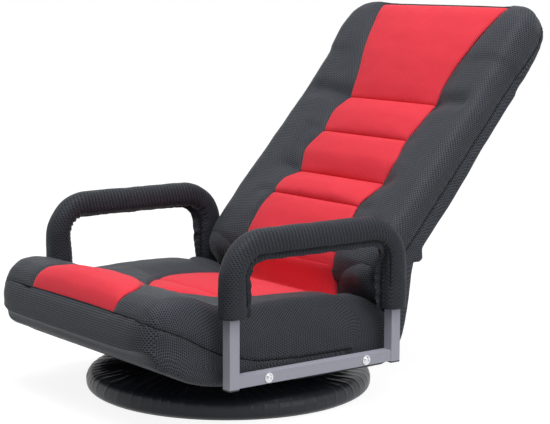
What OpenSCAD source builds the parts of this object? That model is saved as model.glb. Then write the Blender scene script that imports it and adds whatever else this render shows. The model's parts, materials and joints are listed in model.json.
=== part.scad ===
// Swivel floor chair: a low reclining seat with padded arms on a turning ring base.
// Millimetres. The origin is on the floor on the swivel axis, the chair faces -Y and +X is the sitter's left.
// The back is drawn reclined. Its own frame has +Y up the back and +Z out of its face, from the hinge pin.

/* [Base] */
// Outer radius of the covered base
cover_r = 267.5; // [240:0.5:320]
// Padding between the ring tube and the outside of its cover
cover_pad = 5; // [2:0.5:12]
// Outer diameter of the ring tube
ring_tube_d = 25; // [16:0.5:32]
// Wall of the ring tube
ring_wall = 1.5; // [1:0.1:3]
// Height of the rubber ring under the steel ring
rubber_h = 5; // [2:0.5:6]
// Width of the rubber ring
rubber_w = 14; // [8:1:20]
// Width of the two straps that cross the ring
strap_w = 30; // [20:1:60]
// Thickness of the straps
strap_t = 4; // [2:0.5:8]
// Height of the straps' top at the middle
hub_z = 44; // [36:1:60]
// Radius at which the straps' raised middle ends
hub_r = 118; // [95:1:140]
// How far inside the ring tube's middle the straps come down
strap_foot_run = 50; // [30:1:80]
// Thickness of the leatherette cover over the base
cover_t = 1.3; // [0.8:0.1:3]
// Inner radius of the cover's gathered edge
cover_hem_r = 136; // [125:1:180]
// Height of the cover's gathered edge
cover_hem_z = 50; // [40:1:60]
// Height of the rim where the gathers start
cover_rim_h = 36; // [34:0.5:45]
// Number of gathers round the cover
gathers = 30; // [24:1:31]
// Height of a gather
gather_h = 2.4; // [0.5:0.1:4]

/* [Swivel] */
// Side of the two square swivel plates
plate_w = 176; // [160:1:200]
// Thickness of the swivel plates
plate_t = 2.5; // [1.5:0.1:5]
// Corner radius of the swivel plates
plate_corner_r = 14; // [6:1:30]
// Radius of the ball track
track_r = 75; // [60:1:80]
// Ball diameter
ball_d = 8; // [5:0.5:12]
// Number of balls
balls = 16; // [10:1:20]
// Height of each race above its plate
race_h = 4; // [3:0.1:6]
// Width of each race
race_w = 18; // [14:1:24]
// Running clearance between ball and race
ball_gap = 0.05; // [0.02:0.01:0.1]
// Thickness of the ball cage
cage_t = 1.6; // [1:0.1:3]
// Width of the ball cage
cage_w = 13; // [10:1:16]
// Diameter of the centre rivet
rivet_d = 12; // [8:0.5:20]
// Distance of the seat bolts from the axis along X and Y
seat_bolt_xy = 70; // [65:1:74]
// Distance of the base bolts from the axis
base_bolt_r = 52; // [40:1:56]
// Length of the standoffs between the swivel and the seat frame
standoff_h = 20; // [12:1:40]
// Outer diameter of the standoffs
standoff_d = 20; // [16:1:26]

/* [Fasteners] */
// Thread diameter of every bolt
bolt_d = 8; // [6:1:10]
// Clearance round a bolt in its hole, on the diameter
bolt_clear = 0.4; // [0.2:0.1:1]
// Head diameter of a button bolt
bolt_head_d = 13; // [10:0.5:18]
// Head height of a button bolt
bolt_head_h = 4.4; // [3:0.1:6]
// Hexagon socket size across flats
socket_af = 5; // [4:0.5:6]
// Washer outer diameter
washer_d = 17; // [14:0.5:24]
// Washer thickness
washer_t = 1.6; // [1:0.1:3]
// Nut size across flats
nut_af = 13; // [10:0.5:17]
// Nut height
nut_h = 6.5; // [5:0.1:8]

/* [Arms] */
// Side of the square arm tube
arm_tube = 20; // [15:1:30]
// Wall of the arm tube
arm_wall = 1.5; // [1:0.1:3]
// Gap between the seat cushion's side and the arm tubes
arm_gap = 12.8; // [12:0.2:40]
// Middle of the front post, along Y
arm_front_y = -201; // [-230:1:-190]
// Middle of the rear post, along Y
arm_rear_y = 156; // [130:1:180]
// How far the posts reach below the middle of the bottom rail
post_drop = 13.5; // [11:0.5:20]
// How far the rail sits inside the posts' outer face
rail_inset = 1; // [0:0.1:3]
// Height of the middle of the top bar above the bottom rail
arm_rise = 233; // [190:1:270]
// Bend radius of the arm's corners, at the tube's middle
arm_bend_r = 60; // [45:1:75]
// Half width of the arm pad, across the chair
arm_pad_half_w = 21; // [16:0.5:26]
// Half thickness of the arm pad, in the plane of the arm
arm_pad_half_t = 23.5; // [16:0.5:30]
// Clearance between the pad's bore and the tube
arm_pad_gap = 0.3; // [0.1:0.1:1]
// Height above the rail at which the pad ends on the front post
hem_rise_front = 110; // [60:1:140]
// Height above the rail at which the pad ends on the rear post
hem_rise_rear = 86; // [60:1:140]
// Thickness of the plug's head under a post
plug_t = 2.5; // [1.5:0.5:6]
// Length of the plug inside the post
plug_in = 10; // [6:1:20]
// Place of the front arm bolt, along Y
arm_bolt_front_y = -129; // [-150:1:-100]
// Place of the rear arm bolt, along Y
arm_bolt_rear_y = 87.5; // [60:0.5:90]
// Outer diameter of the spacers behind the rail
spacer_d = 14; // [12:0.5:18]
// Outer diameter of the threaded inserts in the seat's tubes
insert_d = 11; // [9:0.5:12]
// Length of the threaded inserts
insert_len = 14; // [8:1:18]

/* [Seat frame] */
// Diameter of the seat and back frame tubes
frame_tube_d = 22; // [18:1:26]
// Wall of the frame tubes
frame_wall = 1.5; // [1:0.1:3]
// Distance of the seat's side tubes in from the cushion's side
seat_tube_inset = 34; // [33:1:60]
// Place where the side tubes start to rise to the front, along Y
seat_bend_y = -185; // [-200:1:-150]
// Length of the rising front part of the seat frame
seat_rise_len = 110; // [90:1:120]
// Rise angle of the front of the seat frame
seat_rise_deg = 16; // [2:0.5:20]
// Bend radius of the seat frame's tubes
seat_bend_r = 60; // [40:1:80]
// Rear end of the side tubes, along Y
seat_tube_end_y = 120; // [110:1:124]
// Side of the square cross bars
bar = 20; // [16:1:25]
// Width of the elastic straps
web_w = 45; // [20:1:60]
// Thickness of the elastic straps
web_t = 1.4; // [0.8:0.1:3]
// Number of straps under the seat
seat_webs = 4; // [2:1:4]

/* [Hinge] */
// Hinge pin place, along Y
hinge_y = 145; // [140:1:160]
// Height of the hinge pin above the middle of the seat's tubes
hinge_rise = 29; // [24:1:39]
// Angle of the back above the horizontal, as drawn
recline_deg = 48; // [0:1:84]
// Diameter of the hinge pin
pin_d = 10; // [8:0.5:14]
// Running clearance round the hinge pin, on the radius
pin_gap = 0.05; // [0.02:0.01:0.1]
// Thickness of the hinge plates
hinge_t = 3.5; // [2:0.1:5]
// Side gap between the seat's plate and the back's plate
hinge_side_gap = 1.5; // [0.5:0.1:2]
// Radius of the seat's hinge plate round the pin
hinge_plate_r = 22; // [16:1:26]
// Radius over the ratchet teeth
gear_r = 34; // [30:0.5:36]
// Depth of a ratchet tooth
tooth_h = 4; // [2:0.5:6]
// Angle from one ratchet tooth to the next
tooth_deg = 12; // [8:1:18]
// Number of ratchet teeth
teeth = 9; // [8:1:9]
// Clearance between the pawl and the tooth crests
pawl_gap = 0.4; // [0.2:0.1:1]
// Diameter of the pawl pin
pawl_pin_d = 6; // [4:0.5:8]

/* [Seat cushion] */
// Half width of the seat cushion
seat_half_w = 265; // [230:1:320]
// Front of the seat cushion, along Y
seat_front_y = -358; // [-380:1:-340]
// Rear of the seat cushion, along Y
seat_rear_y = 107; // [95:1:108]
// Gap between the elastic straps and the cushion's underside
deck_gap = 1.6; // [0.6:0.1:6]
// Height of the cushion above the deck at its front roll
seat_pad_h = 136; // [110:1:150]
// Gap between the swivel rivet's head and the seat's fabric underside
seat_under_gap = 0.6; // [0.3:0.1:8]
// Thickness of the fabric trays under the seat and behind the back
fabric_t = 1.6; // [1:0.1:3]
// Thickness of the coloured panels at their edges
panel_t = 9; // [5:0.5:14]
// Crown of the coloured seat panels
seat_puff = 8; // [2:0.5:14]
// Gap between soft pieces
soft_gap = 0.3; // [0.2:0.05:0.6]

/* [Back] */
// How much narrower the back cushion is than the seat's, on each side
back_inset = 3; // [1:0.5:6]
// Start of the back cushion, up the back from the hinge pin
back_start = 62; // [60:0.5:75]
// Length of the back cushion
back_len = 651; // [560:1:700]
// Height of the back cushion's underside above the hinge pin, out of its face
back_deck = 55.6; // [55:0.1:60]
// Height of the back cushion above that, at its head roll
back_pad_h = 62; // [45:1:80]
// Height of the rear of the back above the hinge pin, at its hem
back_rear = 20; // [18:0.5:24]
// Middle of the back's frame tubes above the hinge pin
back_tube_w = 43; // [41:0.5:43]
// Start of the back's side tubes, up the back
back_tube_start = 76; // [75:0.5:85]
// End of the back frame, up the back
back_tube_end = 622; // [520:1:630]
// Bend radius of the back frame's top corners
back_bend_r = 60; // [40:1:80]
// Diameter of the back's cross bars
back_bar_d = 16; // [12:1:20]
// Crown of the coloured back panels
back_puff = 8; // [2:0.5:14]
// Place where the rear panel's hem starts, up the back
hem_u = 168; // [160:1:200]
// Number of straps across the back
back_webs = 6; // [3:1:6]
// Thickness of the waist cover round the hinge
waist_t = 2; // [1:0.1:3]

/* [Hidden] */
$fn = 64;
// Overrun of a cut past the face it goes through
over = 1;

// Colours, as the photograph shows them
mesh_black = [0.11, 0.12, 0.13];
coral_red = [0.86, 0.16, 0.18];
tube_grey = [0.56, 0.57, 0.62];
zinc = [0.8, 0.81, 0.82];
steel_black = [0.13, 0.13, 0.14];
leatherette = [0.08, 0.08, 0.1];
rubber_black = [0.05, 0.05, 0.05];

// Heights that follow from the sizes above
ring_r = cover_r - cover_pad - ring_tube_d / 2;
strap_foot_r = ring_r - strap_foot_run;
ring_z = rubber_h + ring_tube_d / 2;
ring_top_z = ring_z + ring_tube_d / 2;
lower_plate_top = hub_z + plate_t;
ball_z = lower_plate_top + race_h + race_h / 2;
upper_plate_z = ball_z + race_h / 2 + race_h;
upper_plate_top = upper_plate_z + plate_t;
bar_z = upper_plate_top + standoff_h;
seat_tube_z = bar_z + bar / 2;
rivet_head_h = rivet_d / 5;
rivet_top_z = upper_plate_top + 2 * pin_gap + rivet_head_h;
seat_under_z = rivet_top_z - 2 * pin_gap + seat_under_gap;
deck_z = seat_tube_z + frame_tube_d / 2 + web_t + deck_gap;
hinge_z = seat_tube_z + hinge_rise;
rail_z = seat_tube_z;
post_z = rail_z - post_drop;
arm_top_z = rail_z + arm_rise;
arm_hem_front_z = rail_z + hem_rise_front;
arm_hem_rear_z = rail_z + hem_rise_rear;
arm_x = seat_half_w + arm_gap + arm_tube / 2;
seat_tube_x = seat_half_w - seat_tube_inset;
seat_plate_x = seat_tube_x + frame_tube_d / 2;
gear_x = seat_plate_x + hinge_t + hinge_side_gap;
back_half_w = seat_half_w - back_inset;
back_tube_x = gear_x - frame_tube_d / 2;
rail_in_x = arm_x - arm_tube / 2 - rail_inset;
rail_out_x = rail_in_x + arm_tube;
seat_len = seat_rear_y - seat_front_y;
seat_rise = (seat_bend_y - seat_front_y) * tan(seat_rise_deg);

// Shares of the seat cushion, row by row from the front edge to the crease:
// place along it, half width, underside (a share of the frame's rise), crest of the side roll, height
// beside the coloured panel, half width of the panel, and 1 where the panel's pocket is cut
seat_shares = [
    [0.002, 0.760, 0.921, 0.460, 0.460, 0.440, 0],
    [0.013, 0.850, 0.918, 0.620, 0.620, 0.480, 0],
    [0.030, 0.912, 0.916, 0.740, 0.735, 0.510, 0],
    [0.0344, 0.922, 0.913, 0.760, 0.745, 0.526, 0],
    [0.0357, 0.925, 0.910, 0.765, 0.750, 0.526, 1],
    [0.064, 0.962, 0.831, 0.900, 0.900, 0.532, 1],
    [0.114, 0.990, 0.691, 0.985, 0.985, 0.530, 1],
    [0.167, 1.000, 0.548, 1.000, 1.000, 0.480, 1],
    [0.232, 1.000, 0.376, 0.965, 0.960, 0.330, 1],
    [0.285, 0.998, 0.233, 0.895, 0.900, 0.200, 1],
    [0.328, 0.996, 0.115, 0.830, 0.835, 0.110, 1],
    [0.3690, 0.994, 0.005, 0.785, 0.785, 0.045, 1],
    [0.3703, 0.994, 0.003, 0.784, 0.780, 0.045, 0],
    [0.3790, 0.994, 0, 0.780, 0.765, 0.045, 0],
    [0.3803, 0.994, 0, 0.779, 0.765, 0.045, 1],
    [0.425, 0.993, 0, 0.755, 0.720, 0.120, 1],
    [0.500, 0.992, 0, 0.750, 0.695, 0.290, 1],
    [0.5785, 0.992, 0, 0.765, 0.670, 0.425, 1],
    [0.5798, 0.992, 0, 0.765, 0.655, 0.426, 0],
    [0.5877, 0.992, 0, 0.765, 0.655, 0.430, 0],
    [0.5890, 0.992, 0, 0.765, 0.670, 0.431, 1],
    [0.682, 0.993, 0, 0.765, 0.655, 0.520, 1],
    [0.811, 0.996, 0, 0.735, 0.625, 0.545, 1],
    [0.897, 0.999, 0, 0.685, 0.600, 0.545, 1],
    [0.944, 1.000, 0, 0.625, 0.570, 0.540, 1],
    [0.9820, 0.998, 0, 0.520, 0.500, 0.535, 1],
    [0.9833, 0.998, 0, 0.515, 0.490, 0.535, 0],
    [0.990, 0.994, 0, 0.440, 0.430, 0.530, 0],
    [0.9970, 0.980, 0, 0.350, 0.350, 0.530, 0]];
// The same shares for the back cushion, from the crease to the top
back_shares = [
    [0.0015, 0.982, 0, 0.040, 0.040, 0.480, 0],
    [0.006, 0.988, 0, 0.140, 0.140, 0.482, 0],
    [0.0152, 0.992, 0, 0.300, 0.300, 0.485, 0],
    [0.0185, 0.993, 0, 0.340, 0.335, 0.488, 0],
    [0.0195, 0.993, 0, 0.355, 0.345, 0.488, 1],
    [0.030, 0.995, 0, 0.510, 0.490, 0.492, 1],
    [0.0504, 0.997, 0, 0.690, 0.650, 0.500, 1],
    [0.105, 1.000, 0, 0.755, 0.740, 0.530, 1],
    [0.157, 1.000, 0, 0.775, 0.810, 0.527, 1],
    [0.2105, 1.000, 0, 0.780, 0.830, 0.500, 1],
    [0.2115, 1.000, 0, 0.780, 0.815, 0.500, 0],
    [0.2170, 1.000, 0, 0.780, 0.815, 0.500, 0],
    [0.2180, 1.000, 0, 0.780, 0.825, 0.500, 1],
    [0.268, 1.000, 0, 0.780, 0.710, 0.520, 1],
    [0.3190, 1.000, 0, 0.780, 0.460, 0.492, 1],
    [0.3200, 1.000, 0, 0.780, 0.450, 0.492, 0],
    [0.3255, 1.000, 0, 0.780, 0.450, 0.492, 0],
    [0.3265, 1.000, 0, 0.780, 0.470, 0.492, 1],
    [0.394, 1.000, 0, 0.775, 0.620, 0.525, 1],
    [0.4700, 1.000, 0, 0.770, 0.600, 0.485, 1],
    [0.4710, 1.000, 0, 0.770, 0.585, 0.485, 0],
    [0.4765, 1.000, 0, 0.770, 0.585, 0.485, 0],
    [0.4775, 1.000, 0, 0.770, 0.595, 0.485, 1],
    [0.546, 1.000, 0, 0.770, 0.580, 0.515, 1],
    [0.6170, 1.000, 0, 0.775, 0.450, 0.495, 1],
    [0.6180, 1.000, 0, 0.775, 0.435, 0.495, 0],
    [0.6235, 1.000, 0, 0.775, 0.435, 0.495, 0],
    [0.6245, 1.000, 0, 0.775, 0.450, 0.495, 1],
    [0.668, 1.000, 0, 0.790, 0.560, 0.500, 1],
    [0.730, 1.000, 0, 0.825, 0.700, 0.530, 1],
    [0.762, 1.000, 0, 0.850, 0.770, 0.555, 1],
    [0.795, 1.012, 0, 0.940, 0.820, 0.580, 1],
    [0.865, 1.018, 0, 1.000, 0.880, 0.625, 1],
    [0.919, 1.012, 0, 0.990, 0.880, 0.665, 1],
    [0.955, 0.975, 0, 0.920, 0.840, 0.690, 1],
    [0.9790, 0.915, 0.100, 0.800, 0.745, 0.705, 1],
    [0.9800, 0.912, 0.110, 0.790, 0.730, 0.705, 0],
    [0.9895, 0.850, 0.250, 0.640, 0.620, 0.690, 0],
    [0.9955, 0.790, 0.380, 0.520, 0.520, 0.600, 0]
];
// Shares of the cushion's side, from its underside to the side roll's crest: inset and height
side_shares = [[0.040, 0], [0.006, 0.18], [0, 0.50], [0.025, 0.80], [0.075, 0.96], [0.140, 1]];
// Rows of each coloured panel in those tables
seat_rows = [[4, 11], [14, 17], [20, 25]];
back_rows = [[4, 9], [12, 14], [17, 19], [22, 24], [27, 35]];

module place_back() {
    translate([0, hinge_y, hinge_z])
        rotate([recline_deg, 0, 0])
            children();
}

// Turns an outline drawn in Y and Z so that it extrudes along X
module along_x() {
    rotate([90, 0, 90])
        children();
}

module both_sides() {
    children();
    mirror([1, 0, 0])
        children();
}

// Faces of a closed skin through loops of n points, closed by a point at each end
function skin_faces(loops, n) = concat(
    [for (i = [0:loops - 2], j = [0:n - 1]) [i * n + j, i * n + (j + 1) % n, (i + 1) * n + (j + 1) % n]],
    [for (i = [0:loops - 2], j = [0:n - 1]) [i * n + j, (i + 1) * n + (j + 1) % n, (i + 1) * n + j]],
    [for (j = [0:n - 1]) [loops * n, (j + 1) % n, j]],
    [for (j = [0:n - 1]) [loops * n + 1, (loops - 1) * n + j, (loops - 1) * n + (j + 1) % n]]
);

function mirrored(half) = concat(half, [for (i = [len(half) - 2:-1:1]) [-half[i][0], half[i][1]]]);

// Half section of a cushion, from the middle of its underside to the middle of its top
function pad_half(row, half_w, deck, rise, pad_h) =
    let (hw = row[1] * half_w,
         zb = deck + row[2] * rise,
         zc = deck + row[3] * pad_h,
         ze = deck + row[4] * pad_h,
         w = row[5] * half_w,
         zp = ze - row[6] * panel_t,
         crest_x = hw * (1 - side_shares[5][0]))
    concat(
        [[0, zb]],
        [for (s = side_shares) [hw * (1 - s[0]), zb + s[1] * (zc - zb)]],
        [[(crest_x + w) / 2, ze + (zc - ze) * 0.8], [w + soft_gap, ze], [w, zp], [w / 2, zp], [0, zp]]
    );

module cushion(rows, start, length, half_w, deck, rise, pad_h) {
    sections = [for (row = rows) mirrored(pad_half(row, half_w, deck, rise, pad_h))];
    n = len(sections[0]);
    last = len(rows) - 1;
    first_mid = deck + (rows[0][2] * rise + rows[0][3] * pad_h) / 2;
    last_mid = deck + (rows[last][2] * rise + rows[last][3] * pad_h) / 2;
    points = concat(
        [for (i = [0:last], p = sections[i]) [p[0], start + rows[i][0] * length, p[1]]],
        [[0, start, first_mid], [0, start + length, last_mid]]
    );
    polyhedron(points = points, faces = skin_faces(len(rows), n));
}

// One coloured panel, lying in its pocket with a gap all round
panel_across_shares = [-1, -0.85, -0.45, 0, 0.45, 0.85, 1];
// The panel's end rows lie inside their pocket, on the way to the next row
function panel_row(rows, i, first, last, length) =
    let (next = i == first ? i + 1 : i == last ? i - 1 : i,
         t = next == i ? 0 : soft_gap / length / abs(rows[next][0] - rows[i][0]))
    rows[i] + (rows[next] - rows[i]) * t;
function panel_section(row, half_w, deck, pad_h, crown) =
    let (w = row[5] * half_w - soft_gap,
         ze = deck + row[4] * pad_h,
         zp = ze - panel_t + soft_gap,
         seam = ze - panel_t / 9)
    concat(
        [[-w, zp], [0, zp], [w, zp]],
        [for (i = [6:-1:0])
            let (u = panel_across_shares[i])
            [u * w, seam + crown * (1 - pow(abs(u), 3))]]
    );

module panel(rows, span, start, length, half_w, deck, pad_h, puff) {
    first = span[0];
    last = span[1];
    middle = (first + last) / 2;
    half_span = (last - first) / 2;
    own = [for (i = [first:last]) panel_row(rows, i, first, last, length)];
    ys = [for (row = own) start + row[0] * length];
    crowns = [for (i = [first:last]) puff * (1 - pow(abs(i - middle) / half_span, 3))];
    sections = [for (i = [0:last - first]) panel_section(own[i], half_w, deck, pad_h, crowns[i])];
    n = len(sections[0]);
    count = last - first + 1;
    z0 = (sections[0][1][1] + sections[0][6][1]) / 2;
    z1 = (sections[count - 1][1][1] + sections[count - 1][6][1]) / 2;
    points = concat(
        [for (i = [0:count - 1], p = sections[i]) [p[0], ys[i], p[1]]],
        [[0, ys[0], z0], [0, ys[count - 1], z1]]
    );
    polyhedron(points = points, faces = skin_faces(count, n));
}

module round_tube(d, wall, length) {
    difference() {
        cylinder(d = d, h = length);
        translate([0, 0, -over])
            cylinder(d = d - 2 * wall, h = length + 2 * over);
    }
}

module square_ring(size, wall) {
    difference() {
        square(size, center = true);
        square(size - 2 * wall, center = true);
    }
}

// Button bolt whose head sits on z = 0 and whose shank runs down
module button_bolt(shank) {
    difference() {
        union() {
            translate([0, 0, -shank])
                cylinder(d = bolt_d, h = shank + over);
            cylinder(d1 = bolt_head_d, d2 = bolt_head_d * 0.7, h = bolt_head_h);
        }
        translate([0, 0, bolt_head_h / 2])
            cylinder(d = socket_af / cos(30), h = bolt_head_h, $fn = 6);
    }
}

module nut() {
    difference() {
        cylinder(d = nut_af / cos(30), h = nut_h, $fn = 6);
        translate([0, 0, -over])
            cylinder(d = bolt_d + bolt_clear / 2, h = nut_h + 2 * over);
    }
}

// Base

module ring_solid(radius) {
    rotate_extrude()
        translate([ring_r, ring_z])
            circle(r = radius);
}

module non_slip_ring() {
    color(rubber_black)
        difference() {
            rotate_extrude()
                translate([ring_r - rubber_w / 2, 0])
                    square([rubber_w, rubber_h + ring_tube_d / 10]);
            ring_solid(ring_tube_d / 2);
        }
}

module base_ring() {
    color(steel_black)
        rotate_extrude()
            translate([ring_r, ring_z])
                difference() {
                    circle(d = ring_tube_d);
                    circle(d = ring_tube_d - 2 * ring_wall);
                }
}

strap_end_r = ring_r + strap_t;
strap_upper = [
    [-strap_end_r, ring_top_z + strap_t], [-strap_foot_r, ring_top_z + strap_t], [-hub_r, hub_z],
    [hub_r, hub_z], [strap_foot_r, ring_top_z + strap_t], [strap_end_r, ring_top_z + strap_t]
];
strap_profile = concat(strap_upper, [for (i = [5:-1:0]) [strap_upper[i][0], strap_upper[i][1] - strap_t]]);

module strap() {
    along_x()
        linear_extrude(height = strap_w, center = true)
            polygon(strap_profile);
}

module base_straps() {
    color(steel_black)
        difference() {
            union() {
                strap();
                rotate([0, 0, 90])
                    strap();
            }
            for (a = [0:90:270])
                rotate([0, 0, a])
                    translate([base_bolt_r, 0, hub_z - strap_t - over])
                        cylinder(d = bolt_d + bolt_clear, h = strap_t + 2 * over);
            translate([0, 0, hub_z - strap_t - over])
                cylinder(d = rivet_d + bolt_clear / 2, h = strap_t + 2 * over);
        }
}

// Cover section as radius and height, outside from the floor in to the hem, then back underneath
rim_in = cover_r - cover_rim_h / 3;
cover_outer = [
    [cover_r - cover_rim_h * 0.18, rubber_h / 3], [cover_r - cover_rim_h * 0.04, cover_rim_h * 0.2],
    [cover_r, cover_rim_h * 0.42], [cover_r - cover_rim_h * 0.03, cover_rim_h * 0.65],
    [cover_r - cover_rim_h * 0.14, cover_rim_h * 0.86], [rim_in, cover_rim_h],
    [rim_in + (cover_hem_r - rim_in) * 0.12, cover_rim_h + (cover_hem_z - cover_rim_h) * 0.18],
    [rim_in + (cover_hem_r - rim_in) * 0.35, cover_rim_h + (cover_hem_z - cover_rim_h) * 0.42],
    [rim_in + (cover_hem_r - rim_in) * 0.70, cover_rim_h + (cover_hem_z - cover_rim_h) * 0.75],
    [cover_hem_r, cover_hem_z]
];
// How much of a gather each of those points takes
gather_shares = [0, 0, 0, 0, 0.08, 0.35, 0.8, 1, 1, 0.7];
cover_inward = [
    [-1, 0], [-1, 0], [-1, 0], [-1, -0.1], [-0.7, -0.7], [-0.4, -0.95], [-0.1, -1], [0, -1], [0, -1], [0, -1]
];
cover_steps = gathers * 2;
// The cover is sewn from an outer band, up to this point, and a gathered top
cover_seam = 5;
function cover_point(j, side, draw_in, i) =
    let (a = i * 360 / cover_steps,
         lift = gather_shares[j] * gather_h * (i % 2 == 0 ? 0.5 : -0.5),
         r = cover_outer[j][0] + side * cover_inward[j][0] * cover_t - draw_in,
         z = cover_outer[j][1] + side * cover_inward[j][1] * cover_t + lift)
    [r * cos(a), r * sin(a), z];

// Closed skin round the base, from one point of the cover's section to another
module cover_skin(from, to, draw_in) {
    k = to - from + 1;
    n = 2 * k;
    points = [for (i = [0:cover_steps - 1], j = [0:n - 1])
        let (side = j < k ? 0 : 1, at = from + (j < k ? j : n - 1 - j))
        cover_point(at, side, at == cover_seam ? draw_in : 0, i)];
    m = cover_steps;
    faces = concat(
        [for (i = [0:m - 1], j = [0:n - 1])
            [i * n + j, i * n + (j + 1) % n, (i + 1) % m * n + (j + 1) % n]],
        [for (i = [0:m - 1], j = [0:n - 1])
            [i * n + j, (i + 1) % m * n + (j + 1) % n, (i + 1) % m * n + j]]
    );
    color(leatherette)
        polyhedron(points = points, faces = faces);
}

module base_cover() {
    cover_skin(cover_seam, len(cover_outer) - 1, soft_gap);
}

module base_cover_band() {
    cover_skin(0, cover_seam, 0);
}

module base_bolts() {
    color(zinc)
        for (a = [0:90:270])
            rotate([0, 0, a])
                translate([base_bolt_r, 0, lower_plate_top])
                    button_bolt(plate_t + strap_t + nut_h);
}

module base_nuts() {
    color(zinc)
        for (a = [0:90:270])
            rotate([0, 0, a])
                translate([base_bolt_r, 0, hub_z - strap_t - nut_h])
                    nut();
}

// Swivel

module plate_outline() {
    inner = plate_w - 2 * plate_corner_r;
    square([plate_w, inner], center = true);
    square([inner, plate_w], center = true);
    for (x = [-inner / 2, inner / 2], y = [-inner / 2, inner / 2])
        translate([x, y])
            circle(r = plate_corner_r);
}

// Race that stands on z = 0 with its groove for balls centred at the given height
module race(ball_height) {
    rotate_extrude()
        difference() {
            translate([track_r - race_w / 2, 0])
                square([race_w, race_h]);
            translate([track_r, ball_height])
                circle(r = ball_d / 2 + ball_gap);
        }
}

module swivel_lower_plate() {
    color(zinc)
        difference() {
            union() {
                translate([0, 0, hub_z])
                    linear_extrude(height = plate_t)
                        plate_outline();
                translate([0, 0, lower_plate_top])
                    race(ball_z - lower_plate_top);
            }
            for (a = [0:90:270])
                rotate([0, 0, a])
                    translate([base_bolt_r, 0, hub_z - over])
                        cylinder(d = bolt_d + bolt_clear, h = plate_t + 2 * over);
            translate([0, 0, hub_z - over])
                cylinder(d = rivet_d + bolt_clear / 2, h = plate_t + 2 * over);
        }
}

module swivel_rivet() {
    rivet_low = hub_z - strap_t;
    rivet_high = rivet_top_z - rivet_head_h;
    color(zinc)
        difference() {
            union() {
                translate([0, 0, rivet_low - rivet_head_h])
                    cylinder(d = rivet_d * 1.7, h = rivet_head_h);
                translate([0, 0, rivet_low - over])
                    cylinder(d = rivet_d, h = rivet_high - rivet_low + 2 * over);
                translate([0, 0, rivet_high])
                    cylinder(d = rivet_d * 1.7, h = rivet_head_h);
            }
            translate([0, 0, rivet_low - rivet_head_h - over])
                cylinder(d = rivet_d / 2, h = rivet_high - rivet_low + 2 * rivet_head_h + 2 * over);
        }
}

module ball_cage() {
    color(zinc)
        difference() {
            translate([0, 0, ball_z - cage_t / 2])
                difference() {
                    cylinder(r = track_r + cage_w / 2, h = cage_t);
                    translate([0, 0, -over])
                        cylinder(r = track_r - cage_w / 2, h = cage_t + 2 * over);
                }
            for (i = [0:balls - 1])
                rotate([0, 0, i * 360 / balls])
                    translate([track_r, 0, ball_z - cage_t])
                        cylinder(r = ball_d / 2 + ball_gap, h = 2 * cage_t);
        }
}

module bearing_balls() {
    color(zinc)
        for (i = [0:balls - 1])
            rotate([0, 0, i * 360 / balls])
                translate([track_r, 0, ball_z])
                    sphere(d = ball_d);
}

module swivel_upper_plate() {
    color(zinc)
        difference() {
            union() {
                translate([0, 0, upper_plate_z])
                    linear_extrude(height = plate_t)
                        plate_outline();
                translate([0, 0, upper_plate_z])
                    mirror([0, 0, 1])
                        race(upper_plate_z - ball_z);
            }
            for (x = [-seat_bolt_xy, seat_bolt_xy], y = [-seat_bolt_xy, seat_bolt_xy])
                translate([x, y, upper_plate_z - over])
                    cylinder(d = bolt_d + bolt_clear, h = plate_t + 2 * over);
            translate([0, 0, upper_plate_z - over])
                cylinder(r = rivet_d / 2 + pin_gap, h = plate_t + 2 * over);
        }
}

module at_seat_bolts(z) {
    for (x = [-seat_bolt_xy, seat_bolt_xy], y = [-seat_bolt_xy, seat_bolt_xy])
        translate([x, y, z])
            children();
}

module seat_bolts() {
    color(zinc)
        at_seat_bolts(upper_plate_z)
            mirror([0, 0, 1])
                button_bolt(plate_t + standoff_h + arm_wall + nut_h);
}

module seat_nuts() {
    color(zinc)
        at_seat_bolts(bar_z + arm_wall)
            nut();
}

module standoffs() {
    color(steel_black)
        at_seat_bolts(upper_plate_top)
            round_tube(standoff_d, (standoff_d - bolt_d - bolt_clear) / 2, standoff_h);
}

// Seat frame

module cross_bar() {
    difference() {
        along_x()
            linear_extrude(height = 2 * seat_tube_x, center = true)
                square_ring(bar, arm_wall);
        for (x = [-seat_bolt_xy, seat_bolt_xy])
            translate([x, 0, -bar / 2 - over])
                cylinder(d = bolt_d + bolt_clear, h = arm_wall + 2 * over);
    }
}

// Tube bent to a U: two legs along Y from y = 0 and a cross piece at their end
module u_tube(half_w, length, bend_r, d, grow) {
    both_sides() {
        translate([half_w, -grow, 0])
            rotate([-90, 0, 0])
                cylinder(d = d, h = length - bend_r + grow);
        translate([half_w - bend_r, length - bend_r, 0])
            rotate_extrude(angle = 90)
                translate([bend_r, 0])
                    circle(d = d);
    }
    translate([bend_r - half_w, length, 0])
        rotate([0, 90, 0])
            cylinder(d = d, h = 2 * (half_w - bend_r));
}

// Half space in front of the mitre where the side tubes meet the rising front tube, or behind it
module mitre_cut(front) {
    reach = seat_rise_len;
    translate([0, seat_bend_y, seat_tube_z])
        rotate([180 - seat_rise_deg / 2, 0, 0])
            translate([-seat_half_w, front ? 0 : -reach, -reach])
                cube([2 * seat_half_w, reach, 2 * reach]);
}

module side_tubes(d, grow) {
    both_sides()
        translate([seat_tube_x, seat_bend_y - frame_tube_d, seat_tube_z])
            rotate([-90, 0, 0])
                cylinder(d = d, h = seat_tube_end_y - seat_bend_y + frame_tube_d + grow);
}

module seat_frame() {
    color(steel_black)
        difference() {
            union() {
                side_tubes(frame_tube_d, 0);
                for (y = [-seat_bolt_xy, seat_bolt_xy])
                    translate([0, y, seat_tube_z])
                        cross_bar();
            }
            side_tubes(frame_tube_d - 2 * frame_wall, over);
            both_sides()
                at_arm_bolts()
                    translate([-frame_tube_d / 2, 0, 0])
                        rotate([0, 90, 0])
                            cylinder(d = insert_d, h = frame_tube_d);
            mitre_cut(true);
        }
}

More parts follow.
